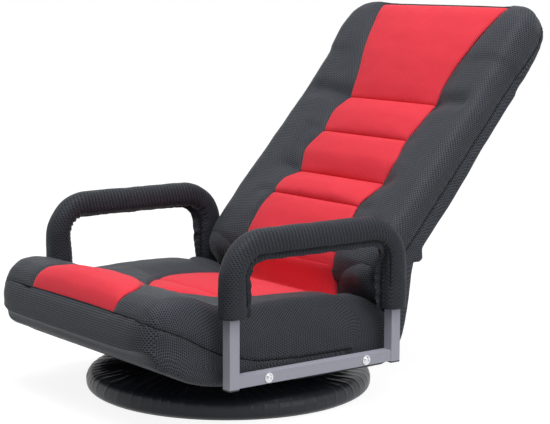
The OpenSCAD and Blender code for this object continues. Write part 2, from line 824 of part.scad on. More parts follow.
module rising_tube(d, grow) {
    translate([0, seat_bend_y, seat_tube_z])
        rotate([180 - seat_rise_deg, 0, 0])
            u_tube(seat_tube_x, seat_rise_len, seat_bend_r, d, grow);
}

module seat_front_tube() {
    color(steel_black)
        difference() {
            rising_tube(frame_tube_d, frame_tube_d);
            rising_tube(frame_tube_d - 2 * frame_wall, frame_tube_d + over);
            mitre_cut(false);
        }
}

module seat_webbing() {
    step = (seat_rear_y - seat_bend_y - web_w * 1.2) / (seat_webs - 1);
    color(rubber_black)
        for (i = [0:seat_webs - 1])
            translate([-seat_tube_x, seat_bend_y + web_w / 10 + i * step, seat_tube_z + frame_tube_d / 2])
                cube([2 * seat_tube_x, web_w, web_t]);
}

// Arms

bend_step = 15;
function arm_path(front_z, rear_z) = concat(
    [for (z = [front_z, (front_z + arm_top_z - arm_bend_r) / 2]) [arm_front_y, z, 0]],
    [for (a = [0:bend_step:90])
        [arm_front_y + arm_bend_r * (1 - cos(a)), arm_top_z - arm_bend_r * (1 - sin(a)), -a]],
    [for (s = [1, 2]) [arm_front_y + arm_bend_r + (arm_rear_y - arm_front_y - 2 * arm_bend_r) * s / 3,
        arm_top_z, -90]],
    [for (a = [90:bend_step:180])
        [arm_rear_y - arm_bend_r * (1 + cos(a)), arm_top_z - arm_bend_r * (1 - sin(a)), -a]],
    [for (z = [(rear_z + arm_top_z - arm_bend_r) / 2, rear_z]) [arm_rear_y, z, -180]]
);

// Section of the pad: 12 points round it
pad_section_shares = [for (i = [0:11])
    let (a = i * 30 + 15, c = cos(a), s = sin(a))
    [sign(c) * pow(abs(c), 0.6), sign(s) * pow(abs(s), 0.6)]];
// Thickness of the pad along the tube, from the front hem to the rear hem: inside the loop and outside it
pad_in_shares = [1.18, 1.12, 1.02, 1, 1, 1, 1, 1, 1, 1, 1, 1, 1, 1, 1, 1, 1, 1, 1, 1];
pad_out_shares = [
    0.93, 0.88, 0.86, 0.84, 0.82, 0.82, 0.86, 0.92, 0.98, 1,
    1, 0.98, 0.93, 0.88, 0.86, 0.88, 0.92, 0.96, 1, 0.95
];
bore_section_shares = [
    [1, 1 / 3], [1, 1], [1 / 3, 1], [-1 / 3, 1], [-1, 1], [-1, 1 / 3],
    [-1, -1 / 3], [-1, -1], [-1 / 3, -1], [1 / 3, -1], [1, -1], [1, -1 / 3]
];
// Across is along X, the other way lies in the plane of the arm, square to the path
function arm_point(p, x, t) = [x, p[0] + t * cos(p[2]), p[1] + t * sin(p[2])];

module arm_pad(side) {
    path = arm_path(arm_hem_front_z, arm_hem_rear_z);
    m = len(path);
    n = 12;
    bore = arm_tube / 2 + arm_pad_gap;
    // The bore's outer side runs in straight stretches round the bends
    bore_out = (arm_bend_r + bore) / cos(bend_step / 2) - arm_bend_r;
    outer = [for (i = [0:m - 1], s = pad_section_shares)
        let (swell = s[1] > 0 ? pad_in_shares[i] : pad_out_shares[i])
        arm_point(path[i], s[0] * arm_pad_half_w, s[1] * arm_pad_half_t * swell)];
    inner = [for (i = [0:m - 1], s = bore_section_shares)
        arm_point(path[i], s[0] * bore, s[1] * (s[1] > 0 ? bore : bore_out))];
    k = m * n;
    last = (m - 1) * n;
    faces = concat(
        [for (i = [0:m - 2], j = [0:n - 1]) [i * n + j, (i + 1) * n + (j + 1) % n, i * n + (j + 1) % n]],
        [for (i = [0:m - 2], j = [0:n - 1]) [i * n + j, (i + 1) * n + j, (i + 1) * n + (j + 1) % n]],
        [for (i = [0:m - 2], j = [0:n - 1])
            [k + i * n + j, k + i * n + (j + 1) % n, k + (i + 1) * n + (j + 1) % n]],
        [for (i = [0:m - 2], j = [0:n - 1])
            [k + i * n + j, k + (i + 1) * n + (j + 1) % n, k + (i + 1) * n + j]],
        [for (j = [0:n - 1]) [j, (j + 1) % n, k + (j + 1) % n]],
        [for (j = [0:n - 1]) [j, k + (j + 1) % n, k + j]],
        [for (j = [0:n - 1]) [last + j, k + last + (j + 1) % n, last + (j + 1) % n]],
        [for (j = [0:n - 1]) [last + j, k + last + j, k + last + (j + 1) % n]]
    );
    color(mesh_black)
        translate([side * arm_x, 0, 0])
            polyhedron(points = concat(outer, inner), faces = faces);
}

module arm_bend(y, from) {
    translate([y, arm_top_z - arm_bend_r])
        rotate([0, 0, from])
            rotate_extrude(angle = 90)
                translate([arm_bend_r, 0])
                    square_ring(arm_tube, arm_wall);
}

module arm_post(y) {
    foot = post_z + plug_t;
    translate([y, foot, 0])
        rotate([-90, 0, 0])
            linear_extrude(height = arm_top_z - arm_bend_r - foot)
                square_ring(arm_tube, arm_wall);
}

module arm_frame(side) {
    bar_from = arm_front_y + arm_bend_r;
    bar_len = arm_rear_y - arm_front_y - 2 * arm_bend_r;
    rail_from = arm_front_y + arm_tube / 2;
    rail_len = arm_rear_y - arm_front_y - arm_tube;
    color(tube_grey)
        translate([side * arm_x, 0, 0])
            difference() {
                along_x() {
                    arm_post(arm_front_y);
                    arm_post(arm_rear_y);
                    arm_bend(arm_front_y + arm_bend_r, 90);
                    arm_bend(arm_rear_y - arm_bend_r, 0);
                    translate([bar_from, arm_top_z, 0])
                        rotate([0, 90, 0])
                            linear_extrude(height = bar_len)
                                square_ring(arm_tube, arm_wall);
                    translate([rail_from, rail_z, -side * rail_inset])
                        rotate([0, 90, 0])
                            linear_extrude(height = rail_len)
                                square_ring(arm_tube, arm_wall);
                }
                for (y = [arm_bolt_front_y, arm_bolt_rear_y])
                    translate([-arm_tube, y, rail_z])
                        rotate([0, 90, 0])
                            cylinder(d = bolt_d + bolt_clear, h = 2 * arm_tube);
            }
}

module post_plugs() {
    plug_w = arm_tube - 2 * arm_wall - arm_pad_gap;
    color(rubber_black)
        for (x = [-arm_x, arm_x], y = [arm_front_y, arm_rear_y])
            translate([x, y, post_z]) {
                translate([-arm_tube / 2, -arm_tube / 2, 0])
                    cube([arm_tube, arm_tube, plug_t]);
                translate([-plug_w / 2, -plug_w / 2, 0])
                    cube([plug_w, plug_w, plug_t + plug_in]);
            }
}

module at_arm_bolts() {
    for (y = [arm_bolt_front_y, arm_bolt_rear_y])
        translate([seat_plate_x, y, rail_z])
            children();
}

module arm_bolts() {
    grip = rail_out_x + washer_t - seat_plate_x;
    color(zinc)
        both_sides()
            at_arm_bolts()
                translate([grip, 0, 0])
                    rotate([0, 90, 0])
                        button_bolt(grip + insert_len);
}

module arm_washers() {
    color(zinc)
        both_sides()
            at_arm_bolts()
                translate([rail_out_x - seat_plate_x, 0, 0])
                    rotate([0, 90, 0])
                        round_tube(washer_d, (washer_d - bolt_d - bolt_clear) / 2, washer_t);
}

module arm_spacers() {
    color(steel_black)
        both_sides()
            at_arm_bolts()
                rotate([0, 90, 0])
                    round_tube(spacer_d, (spacer_d - bolt_d - bolt_clear) / 2, rail_in_x - seat_plate_x);
}

// Threaded inserts in the seat's side tubes
module arm_inserts() {
    color(zinc)
        both_sides()
            at_arm_bolts()
                translate([-insert_len, 0, 0])
                    rotate([0, 90, 0])
                        round_tube(insert_d, (insert_d - bolt_d - bolt_clear / 2) / 2, insert_len);
}

// Hinge and ratchet

pawl_dir = 250;
pawl_pin_y = hinge_y - gear_r;
pawl_pin_z = hinge_z - gear_r * 1.27;
tip_r = gear_r + pawl_gap;
plate_foot = seat_tube_z - frame_tube_d / 2 + frame_wall;

module hinge_plate_outline() {
    difference() {
        union() {
            translate([hinge_y, hinge_z])
                circle(r = hinge_plate_r);
            polygon([
                [hinge_y - gear_r * 2.4, plate_foot], [pawl_pin_y - pawl_pin_d, pawl_pin_z - pawl_pin_d * 1.5],
                [pawl_pin_y + pawl_pin_d * 1.5, pawl_pin_z - pawl_pin_d * 1.5],
                [hinge_y + hinge_plate_r * 0.6, hinge_z - hinge_plate_r * 0.8],
                [hinge_y - hinge_plate_r * 0.6, hinge_z + hinge_plate_r * 0.8],
                [seat_rear_y, deck_z - web_t], [hinge_y - gear_r * 2.4, deck_z - web_t]
            ]);
        }
        translate([hinge_y, hinge_z])
            circle(r = pin_d / 2 + pin_gap);
        translate([pawl_pin_y, pawl_pin_z])
            circle(r = pawl_pin_d / 2 + pin_gap);
        translate([arm_bolt_rear_y, rail_z])
            circle(d = spacer_d + bolt_clear);
    }
}

module hinge_plate() {
    color(steel_black)
        translate([seat_plate_x, 0, 0])
            along_x()
                linear_extrude(height = hinge_t)
                    hinge_plate_outline();
}

gear_first_deg = pawl_dir - 84 - tooth_deg / 2;
module gear_outline() {
    root = gear_r - tooth_h;
    difference() {
        union() {
            circle(r = root);
            for (i = [0:teeth - 1])
                rotate([0, 0, gear_first_deg + i * tooth_deg])
                    polygon([
                        [root - tooth_h, -tooth_h / 2], [gear_r * cos(tooth_deg / 5), -gear_r * sin(tooth_deg / 5)],
                        [gear_r * cos(tooth_deg / 4), gear_r * sin(tooth_deg / 4)], [root - tooth_h, tooth_h / 2]
                    ]);
            polygon([
                [0, -root * 0.7], [back_tube_start, back_tube_w - frame_tube_d * 0.7],
                [back_tube_start * 2, back_tube_w - frame_tube_d / 2],
                [back_tube_start * 2, back_tube_w + frame_tube_d / 2],
                [back_tube_start + frame_tube_d / 3, back_tube_w + frame_tube_d / 2],
                [back_tube_start * 0.6, back_tube_w * 0.75], [0, root * 0.9]
            ]);
        }
        circle(r = pin_d / 2 + pin_gap);
    }
}

module hinge_gear() {
    color(zinc)
        place_back()
            translate([gear_x, 0, 0])
                along_x()
                    linear_extrude(height = hinge_t)
                        gear_outline();
}

module hinge_pins() {
    head_t = hinge_t;
    pin_to = gear_x + hinge_t + pin_gap;
    color(zinc)
        both_sides()
            translate([0, hinge_y, hinge_z])
                rotate([0, 90, 0]) {
                    translate([0, 0, seat_plate_x - head_t])
                        cylinder(d = pin_d * 1.6, h = head_t);
                    translate([0, 0, seat_plate_x - over])
                        cylinder(d = pin_d, h = pin_to - seat_plate_x + 2 * over);
                    translate([0, 0, pin_to])
                        cylinder(d = pin_d * 1.6, h = head_t * 0.9);
                }
}

module pawl() {
    tip = [hinge_y + tip_r * cos(pawl_dir), hinge_z + tip_r * sin(pawl_dir)];
    heel = [pawl_pin_y, pawl_pin_z];
    color(zinc)
        translate([gear_x, 0, 0])
            along_x()
                linear_extrude(height = hinge_t)
                    difference() {
                        union() {
                            translate(heel)
                                circle(d = pawl_pin_d * 2);
                            polygon([
                                heel + [0, pawl_pin_d], heel - [0, pawl_pin_d],
                                tip - [-pawl_pin_d / 2, pawl_pin_d * 1.3], tip
                            ]);
                        }
                        translate(heel)
                            circle(r = pawl_pin_d / 2 + pin_gap);
                    }
}

module pawl_pins() {
    color(zinc)
        both_sides()
            translate([seat_plate_x - hinge_t, pawl_pin_y, pawl_pin_z])
                rotate([0, 90, 0]) {
                    cylinder(d = pawl_pin_d * 1.5, h = hinge_t);
                    cylinder(d = pawl_pin_d, h = gear_x + 2 * hinge_t - seat_plate_x);
                }
}

module pawl_springs() {
    leaf_y = pawl_pin_y + pawl_pin_d * 1.2;
    leaf_z = pawl_pin_z - pawl_pin_d * 1.2;
    color(zinc)
        both_sides()
            translate([seat_plate_x + hinge_t, 0, 0])
                along_x()
                    linear_extrude(height = hinge_t)
                        polygon([
                            [leaf_y, leaf_z], [leaf_y + pawl_pin_d * 3, leaf_z + web_t],
                            [leaf_y + pawl_pin_d * 3, leaf_z + 2 * web_t], [leaf_y, leaf_z + web_t]
                        ]);
}

// Seat covers

// Underside of the seat, front to rear: place along the cushion and height
under_shares = [
    [0.047, 0.905], [0.054, 0.705], [0.092, 0.573], [0.125, 0.507], [0.200, 0.309],
    [0.327, 0.144], [0.555, 0.033], [0.770, 0], [0.995, 0]
];
function under_point(i, lift) = [
    seat_front_y + under_shares[i][0] * seat_len,
    seat_under_z + under_shares[i][1] * (deck_z + seat_rise - seat_under_z) + lift
];
under_last = len(under_shares) - 1;
function deck_at(y) = deck_z - soft_gap + (y < seat_bend_y ? (seat_bend_y - y) * tan(seat_rise_deg) : 0);

// Plan of a cushion, drawn in by an inset and carried on past its end
function plan(rows, start, length, half_w, inset, past) =
    let (half = [for (row = rows) [row[1] * half_w - inset, start + row[0] * length]],
         last = len(half) - 1)
    concat(
        half, [half[last] + [0, past], [-half[last][0], half[last][1] + past]],
        [for (i = [last:-1:0]) [-half[i][0], half[i][1]]]
    );

// Solid with a side profile along X, inside a plan
module tray_block(profile, outline) {
    intersection() {
        along_x()
            linear_extrude(height = 2 * arm_x, center = true)
                polygon(profile);
        linear_extrude(height = deck_z + seat_pad_h)
            polygon(outline);
    }
}

module seat_tray() {
    bottom = [for (i = [0:under_last]) under_point(i, 0)];
    lining = [for (i = [0:under_last]) under_point(i, fabric_t)];
    front = bottom[0];
    rear = bottom[under_last];
    rim = [[rear[0], deck_z - soft_gap], [seat_bend_y, deck_z - soft_gap], [front[0], deck_at(front[0])]];
    inner_rim = [
        [rear[0] + over, lining[under_last][1]], [rear[0] + over, deck_z + over],
        [seat_bend_y, deck_z + over], [front[0] + fabric_t, deck_at(front[0]) + 2 * over]
    ];
    color(mesh_black)
        difference() {
            tray_block(
                concat(bottom, rim),
                plan(seat_shares, seat_front_y, seat_len, seat_half_w, soft_gap, 0)
            );
            tray_block(
                concat([[front[0] + fabric_t, lining[1][1]]], [for (i = [1:under_last]) lining[i]], inner_rim),
                plan(seat_shares, seat_front_y, seat_len, seat_half_w, soft_gap + fabric_t, 2 * over)
            );
            both_sides()
                at_arm_bolts()
                    rotate([0, 90, 0])
                        cylinder(d = spacer_d + 2 * soft_gap, h = rail_in_x - seat_plate_x);
            at_seat_bolts(seat_under_z - over)
                cylinder(d = standoff_d + 2 * soft_gap, h = standoff_h);
        }
}

module seat_pad() {
    color(mesh_black)
        cushion(seat_shares, seat_front_y, seat_len, seat_half_w, deck_z, seat_rise, seat_pad_h);
}

module seat_panel(i) {
    color(coral_red)
        panel(seat_shares, seat_rows[i], seat_front_y, seat_len, seat_half_w, deck_z, seat_pad_h, seat_puff);
}

// Back

module back_tubes(d, grow) {
    translate([0, back_tube_start, back_tube_w])
        u_tube(back_tube_x, back_tube_end - back_tube_start, back_bend_r, d, grow);
}

module back_bars(d, reach) {
    for (s = [0.15, 0.5, 0.8])
        translate([-reach, back_tube_start + s * (back_tube_end - back_tube_start), back_tube_w])
            rotate([0, 90, 0])
                cylinder(d = d, h = 2 * reach);
}

module back_frame() {
    color(steel_black)
        place_back()
            difference() {
                union() {
                    back_tubes(frame_tube_d, 0);
                    back_bars(back_bar_d, back_tube_x);
                }
                back_tubes(frame_tube_d - 2 * frame_wall, over);
                back_bars(back_bar_d - 2 * frame_wall, back_tube_x - frame_tube_d / 2);
            }
}

module back_webbing() {
    step = (back_tube_end - back_bend_r - back_tube_start) / back_webs;
    color(rubber_black)
        place_back()
            for (i = [0:back_webs - 1])
                translate([-back_tube_x, back_tube_start + (i + 0.3) * step, back_tube_w + frame_tube_d / 2])
                    cube([2 * back_tube_x, web_w, web_t]);
}

// Rear of the back above its hem: place up the back, and height as a share of the cushion's height
rear_shares = [
    [0.316, 0.016], [0.536, 0.113], [0.760, 0.153], [0.860, 0.153], [0.913, 0.258], [0.959, 0.500]
];
rear_last = len(rear_shares) - 1;
function rear_point(i, lift) = [
    back_start + rear_shares[i][0] * back_len - (i > 3 ? lift / 2 : 0),
    back_rear + rear_shares[i][1] * back_pad_h + lift
];

module back_shell() {
    sheet = [for (i = [0:rear_last]) rear_point(i, 0)];
    lining = [for (i = [0:rear_last]) rear_point(i, fabric_t)];
    rim = back_deck - soft_gap;
    hem_half = back_half_w * 0.97;
    color(mesh_black)
        place_back()
            difference() {
                tray_block(
                    concat(
                        [[back_start, back_rear], [hem_u, back_rear]], sheet,
                        [[sheet[rear_last][0] + fabric_t, rim], [back_start, rim]]
                    ),
                    plan(back_shares, back_start, back_len, back_half_w, soft_gap, 0)
                );
                tray_block(
                    concat(
                        [[back_start - over, back_rear - over], [hem_u, back_rear - over]],
                        [[hem_u, back_rear + fabric_t]], lining,
                        [[lining[rear_last][0], rim + over], [back_start - over, rim + over]]
                    ),
                    concat(
                        [[hem_half, back_start - over]],
                        plan(back_shares, back_start, back_len, back_half_w, soft_gap + fabric_t, 0),
                        [[-hem_half, back_start - over]]
                    )
                );
            }
}

module back_pad() {
    color(mesh_black)
        place_back()
            cushion(back_shares, back_start, back_len, back_half_w, back_deck, back_pad_h, back_pad_h);
}

module back_panel(i) {
    color(coral_red)
        place_back()
            panel(back_shares, back_rows[i], back_start, back_len, back_half_w, back_deck, back_pad_h, back_puff);
}

// Waist: the fabric that closes the hinge gap

function from_back(u, w) = [
    hinge_y + u * cos(recline_deg) - w * sin(recline_deg),
    hinge_z + u * sin(recline_deg) + w * cos(recline_deg)
];
waist_start = seat_rear_y + 2 * soft_gap;
waist_clear = 2 * soft_gap;
waist_u = back_start - waist_clear;
waist_w = back_rear - waist_clear;
function waist_bulge(inset) = [
    [hinge_y + hinge_plate_r - inset / 4, seat_under_z + inset],
    [hinge_y + gear_r * 1.4 - inset, hinge_z - gear_r * 1.05 + inset], [hinge_y + gear_r * 1.95 - inset, hinge_z],
    [hinge_y + gear_r * 2.3 - inset, hinge_z + gear_r * 1.5],
    [hinge_y + gear_r * 2.55 - inset, hinge_z + gear_r * 3]
];
crease = [hinge_y - hinge_t, hinge_z + gear_r * 1.5];
crease_front_z = deck_z + seat_pad_h * 0.38;
crease_half_w = seat_half_w * 0.53;
waist_outer = concat(
    [[waist_start, seat_under_z]], waist_bulge(0),
    [from_back(hem_u - waist_clear, waist_w), from_back(waist_u, waist_w)],
    [from_back(waist_u, back_deck), crease, [waist_start, crease_front_z]]
);
// Hollow of the waist, open to the seat's tray in front and to the back
waist_hollow = concat(
    [[waist_start - over, seat_under_z + waist_t]], waist_bulge(waist_t),
    [from_back(hem_u - waist_clear - waist_t, waist_w + over), from_back(waist_u + over, waist_w + over)],
    [from_back(waist_u + over, back_deck - waist_t), crease - [0, waist_t]],
    [[waist_start - over, crease_front_z - waist_t]]
);
crease_strip = [
    [waist_start, crease_front_z], crease, from_back(waist_u, back_deck),
    from_back(waist_u, back_deck - waist_t), crease - [0, waist_t], [waist_start, crease_front_z - waist_t]
];
crease_cut = [
    [waist_start - over, crease_front_z + over], crease + [0, over], from_back(waist_u + over, back_deck + over),
    from_back(waist_u + over, back_deck - 2 * waist_t), crease - [0, 2 * waist_t],
    [waist_start - over, crease_front_z - 2 * waist_t]
];

module x_prism(outline, half) {
    along_x()
        linear_extrude(height = 2 * half, center = true)
            polygon(outline);
}

module waist_cover() {
    waist_half = back_half_w - soft_gap;
    color(mesh_black)
        difference() {
            x_prism(waist_outer, waist_half);
            x_prism(waist_hollow, waist_half - waist_t);
            x_prism(crease_cut, crease_half_w);
        }
}

module crease_panel() {
    color(coral_red)
        x_prism(crease_strip, crease_half_w - soft_gap);
}

non_slip_ring();
base_ring();
base_straps();
base_cover();
base_cover_band();
base_bolts();
base_nuts();
swivel_lower_plate();
swivel_rivet();
ball_cage();
bearing_balls();
swivel_upper_plate();
seat_bolts();
seat_nuts();
standoffs();
seat_frame();
seat_front_tube();
seat_webbing();
seat_tray();
seat_pad();
seat_panel(0);  // seat_panel_front
seat_panel(1);  // seat_panel_middle
seat_panel(2);  // seat_panel_rear
arm_frame(1);  // arm_frame_left
arm_frame(-1);  // arm_frame_right
arm_pad(1);  // arm_pad_left
arm_pad(-1);  // arm_pad_right
post_plugs();
arm_bolts();
arm_washers();
arm_spacers();
arm_inserts();
hinge_plate();  // hinge_plate_left
mirror([1, 0, 0]) hinge_plate();  // hinge_plate_right
hinge_pins();
hinge_gear();  // hinge_gear_left
mirror([1, 0, 0]) hinge_gear();  // hinge_gear_right
pawl();  // pawl_left
mirror([1, 0, 0]) pawl();  // pawl_right
pawl_pins();
pawl_springs();
back_frame();
back_webbing();
back_shell();
back_pad();
back_panel(0);  // back_panel_lower
back_panel(1);  // back_panel_lumbar
back_panel(2);  // back_panel_middle
back_panel(3);  // back_panel_upper
back_panel(4);  // back_panel_head
waist_cover();
crease_panel();
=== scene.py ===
"""Looks of the swivel floor chair: padded cushions, arm sleeves, gathered base cover, steel and stitching.
Tables and helpers are in millimetres, and Blender's own lengths are in metres."""
import json
import math
from types import SimpleNamespace

import bmesh
import bpy
import numpy as np
from mathutils import Matrix, Vector, noise


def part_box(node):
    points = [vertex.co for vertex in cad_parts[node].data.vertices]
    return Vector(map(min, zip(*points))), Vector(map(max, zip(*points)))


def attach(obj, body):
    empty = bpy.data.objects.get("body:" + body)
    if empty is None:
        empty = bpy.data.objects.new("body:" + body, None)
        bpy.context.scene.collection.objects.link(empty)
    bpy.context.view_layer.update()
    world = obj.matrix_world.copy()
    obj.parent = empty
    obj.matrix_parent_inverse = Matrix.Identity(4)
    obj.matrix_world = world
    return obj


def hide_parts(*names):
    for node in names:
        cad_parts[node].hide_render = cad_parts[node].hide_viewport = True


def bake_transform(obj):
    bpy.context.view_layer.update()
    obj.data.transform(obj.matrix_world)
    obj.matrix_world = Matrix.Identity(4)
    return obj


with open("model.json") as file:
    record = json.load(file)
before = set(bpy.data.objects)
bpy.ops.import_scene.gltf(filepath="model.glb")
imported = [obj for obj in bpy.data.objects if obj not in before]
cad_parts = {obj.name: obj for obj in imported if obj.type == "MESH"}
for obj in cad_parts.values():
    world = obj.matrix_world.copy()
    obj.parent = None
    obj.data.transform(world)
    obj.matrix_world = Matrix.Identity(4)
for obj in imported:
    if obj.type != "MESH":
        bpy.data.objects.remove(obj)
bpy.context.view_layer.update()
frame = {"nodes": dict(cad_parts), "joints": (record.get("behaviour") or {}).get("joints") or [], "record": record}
scene = bpy.context.scene
MM = 0.001


def corners(node):
    """A node's lowest and highest corners, in millimetres."""
    return np.round(np.array(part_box(node)) / MM, 3)


# The back's own frame: the hinge's y and z, and how far the back is raised at rest from its flat place
recline = next(joint for joint in frame["joints"] if joint["name"] == "recline")
HINGE = [v / MM for v in recline["pos_m"][1:]]
RECLINE = math.radians(-recline["range_deg"][0])
seat_low, seat_high = corners("seat_pad")

# Each cushion's rows: place along it, half width, underside, crest of the side roll, height beside the panel,
# half width of the panel. All are shares: of length, half_w, or high above deck.
SEAT = dict(start=seat_low[1], length=seat_high[1] - seat_low[1], half_w=seat_high[0], deck=seat_low[2],
            high=seat_high[2] - seat_low[2], rows=[
    [0.002, 0.76, 0.336, 0.46, 0.46, 0.44], [0.013, 0.85, 0.335, 0.62, 0.62, 0.48],
    [0.035, 0.924, 0.333, 0.763, 0.748, 0.526], [0.064, 0.962, 0.3, 0.9, 0.9, 0.532],
    [0.114, 0.99, 0.252, 0.985, 0.985, 0.53], [0.167, 1, 0.2, 1, 1, 0.48],
    [0.232, 1, 0.137, 0.965, 0.96, 0.33], [0.285, 0.998, 0.085, 0.895, 0.9, 0.2],
    [0.328, 0.996, 0.042, 0.83, 0.835, 0.11], [0.3747, 0.994, 0.001, 0.782, 0.778, 0.048],
    [0.425, 0.993, 0, 0.755, 0.72, 0.12], [0.5, 0.992, 0, 0.75, 0.695, 0.29],
    [0.583, 0.992, 0, 0.765, 0.665, 0.428], [0.682, 0.993, 0, 0.765, 0.655, 0.52],
    [0.811, 0.996, 0, 0.745, 0.625, 0.545], [0.897, 0.999, 0, 0.71, 0.6, 0.545],
    [0.944, 1, 0, 0.655, 0.57, 0.54], [0.9825, 0.998, 0, 0.53, 0.495, 0.535],
    [0.997, 0.985, 0, 0.44, 0.44, 0.53]])
SEAT_PANELS = [("seat_panel_front", 0.035, 0.3747), ("seat_panel_middle", 0.3747, 0.5834),
               ("seat_panel_rear", 0.5834, 0.9828)]
BACK = dict(start=62.0, length=651.0, half_w=262.0, deck=55.6, high=62.0, rows=[
    [0.0015, 0.982, 0, 0.04, 0.04, 0.52], [0.006, 0.988, 0, 0.14, 0.14, 0.522],
    [0.019, 0.993, 0, 0.345, 0.34, 0.525], [0.03, 0.995, 0, 0.51, 0.45, 0.527],
    [0.0504, 0.997, 0, 0.69, 0.595, 0.529], [0.0772, 0.999, 0, 0.735, 0.695, 0.531],
    [0.105, 1, 0, 0.755, 0.74, 0.532],
    [0.157, 1, 0, 0.775, 0.81, 0.527], [0.2143, 1, 0, 0.78, 0.825, 0.5],
    [0.268, 1, 0, 0.78, 0.71, 0.52], [0.3228, 1, 0, 0.78, 0.46, 0.492],
    [0.394, 1, 0, 0.775, 0.62, 0.525], [0.4738, 1, 0, 0.77, 0.59, 0.485],
    [0.546, 1, 0, 0.77, 0.58, 0.515], [0.6208, 1, 0, 0.775, 0.445, 0.495],
    [0.668, 1, 0, 0.79, 0.56, 0.5], [0.73, 1, 0, 0.825, 0.7, 0.53],
    [0.762, 1, 0, 0.85, 0.77, 0.555], [0.795, 1.012, 0, 0.94, 0.82, 0.58],
    [0.865, 1.018, 0, 1, 0.88, 0.625], [0.919, 1.012, 0, 0.99, 0.88, 0.665],
    [0.955, 0.975, 0, 0.92, 0.84, 0.69], [0.9795, 0.913, 0.105, 0.795, 0.74, 0.705],
    [0.9955, 0.79, 0.38, 0.52, 0.52, 0.6]])
BACK_PANELS = [("back_panel_lower", 0.0192, 0.2142), ("back_panel_lumbar", 0.2142, 0.3228),
               ("back_panel_middle", 0.3228, 0.4738), ("back_panel_upper", 0.4738, 0.6208),
               ("back_panel_head", 0.6208, 0.9795)]
# Side of a cushion: inset and height, as shares of its half width and of its height
SIDE = [(0.006, 0.18), (0.0, 0.50), (0.025, 0.80), (0.075, 0.96), (0.140, 1.0)]
# Underside of the seat and rear of the back: place along the cushion, height
SEAT_LOW = [(0.0, 150), (0.02, 147), (0.035, 142), (0.047, 136), (0.054, 129.5), (0.092, 116), (0.125, 110),
            (0.2, 92), (0.327, 77), (0.555, 67), (0.77, 64), (1.0, 64)]
BACK_LOW = [(0.0, 20), (0.13, 20), (0.145, 13), (0.157, 5), (0.166, 4), (0.176, 9.5), (0.19, 17),
            (0.21, 18), (0.32, 17.5), (0.54, 24), (0.69, 26), (0.735, 26.5), (0.745, 29), (0.77, 31),
            (0.86, 37), (0.913, 43), (0.955, 52), (0.98, 62), (1.0, 80)]
# Seams round the cushions' sides: place along, height
SEAT_SEAM = [(0.0, 208), (0.03, 204), (0.06, 195), (0.11, 186), (0.17, 174), (0.245, 154), (0.34, 132),
             (0.5, 112), (0.7, 106), (1.0, 106)]
BACK_SEAM = [(0.0, 52), (0.9, 53), (1.0, 70)]

# The end of a cushion with its close rows, the rings that round it off, and where its side roll is highest
NOSE = 0.08
ENDS = ((0.35, 0.985), (0.65, 0.96), (0.88, 0.92))
RINGS = len(ENDS)
CREST_AT = 0.86
# The pocket in a cushion that the coloured panels lie in, and how far most panels and a flatter one crown
PANEL_T = 9.0
PUFF = 8.0
FLAT_PUFF = 6.5
# Depth and width of a seam's line, of the hollow round it, and of a panel's tuck at its sides and at its ends
SEAM_LINE, SEAM_HOLLOW = (2.3, 2.6), (1.5, 16.0)
SIDE_TUCK, END_TUCK = (4.6, 4.0), (5.2, 4.5)
# How far the stitches run below the side seam
STITCH_DROP = 4.2
# Soft unevenness: the size, depth and shift of each layer
FOAM = ((85.0, 1.9, 0), (28.0, 0.7, 400))
FOAM_PANEL = ((70.0, 1.3, 0), (24.0, 0.45, 300))
FOAM_WAIST = ((46.0, 1.6, 0), (17.0, 0.7, 60))
# Points nearer than this many metres are one
SAME = 1e-7


# Numbers
def pchip(x, y, at):
    """Monotone cubic through the points, at the places asked."""
    x, y, at = np.asarray(x, float), np.asarray(y, float), np.asarray(at, float)
    h = np.diff(x)
    d = np.diff(y) / h
    m = np.zeros_like(y)
    both = d[:-1] * d[1:] > 0
    w1, w2 = 2 * h[1:] + h[:-1], h[1:] + 2 * h[:-1]
    with np.errstate(divide="ignore", invalid="ignore"):
        inner = (w1 + w2) / (w1 / d[:-1] + w2 / d[1:])
    m[1:-1] = np.where(both, inner, 0.0)
    m[0], m[-1] = d[0], d[-1]
    i = np.clip(np.searchsorted(x, at) - 1, 0, len(h) - 1)
    t = (at - x[i]) / h[i]
    t2, t3 = t * t, t * t * t
    return ((2 * t3 - 3 * t2 + 1) * y[i] + (t3 - 2 * t2 + t) * h[i] * m[i]
            + (3 * t2 - 2 * t3) * y[i + 1] + (t3 - t2) * h[i] * m[i + 1])


def spline(points, parts):
    """Catmull-Rom through points (K, M, 2 or 3), with so many parts in each stretch."""
    p = np.asarray(points, float)
    out = []
    for i, n in enumerate(parts):
        a, b = p[i], p[i + 1]
        before = p[i - 1] if i > 0 else 2 * a - b
        after = p[i + 2] if i + 2 < len(p) else 2 * b - a
        for k in range(n):
            t = k / n
            out.append(0.5 * (2 * a + (b - before) * t + (2 * before - 5 * a + 4 * b - after) * t * t
                              + (3 * a - before - 3 * b + after) * t ** 3))
    out.append(p[-1])
    return np.array(out)


def even(points, n):
    """Points evenly along a smooth curve through the given ones."""
    p = spline([np.array([q]) for q in points], [10] * (len(points) - 1))[:, 0]
    d = np.concatenate([[0], np.cumsum(np.linalg.norm(np.diff(p, axis=0), axis=1))])
    s = np.linspace(0, d[-1], n)
    return np.stack([np.interp(s, d, p[:, c]) for c in range(2)], -1)


def fractal(co, size):
    """Smooth noise, about -1 to 1, at points in millimetres."""
    flat = np.asarray(co, float).reshape(-1, 3) / size
    got = [noise.fractal(Vector(p), 1.0, 2.0, 2) for p in flat]
    return np.array(got).reshape(np.asarray(co).shape[:-1])


def uneven(co, *layers):
    """Soft unevenness in millimetres. Each layer has a size, a depth and a shift that sets it apart."""
    return sum(fractal(co + shift, size) * depth for size, depth, shift in layers)


def along_noise(d, a, b, size):
    """Smooth noise along a line, set apart by a and b."""
    return fractal(np.stack([d, 0 * d + a, 0 * d + b], -1), size)


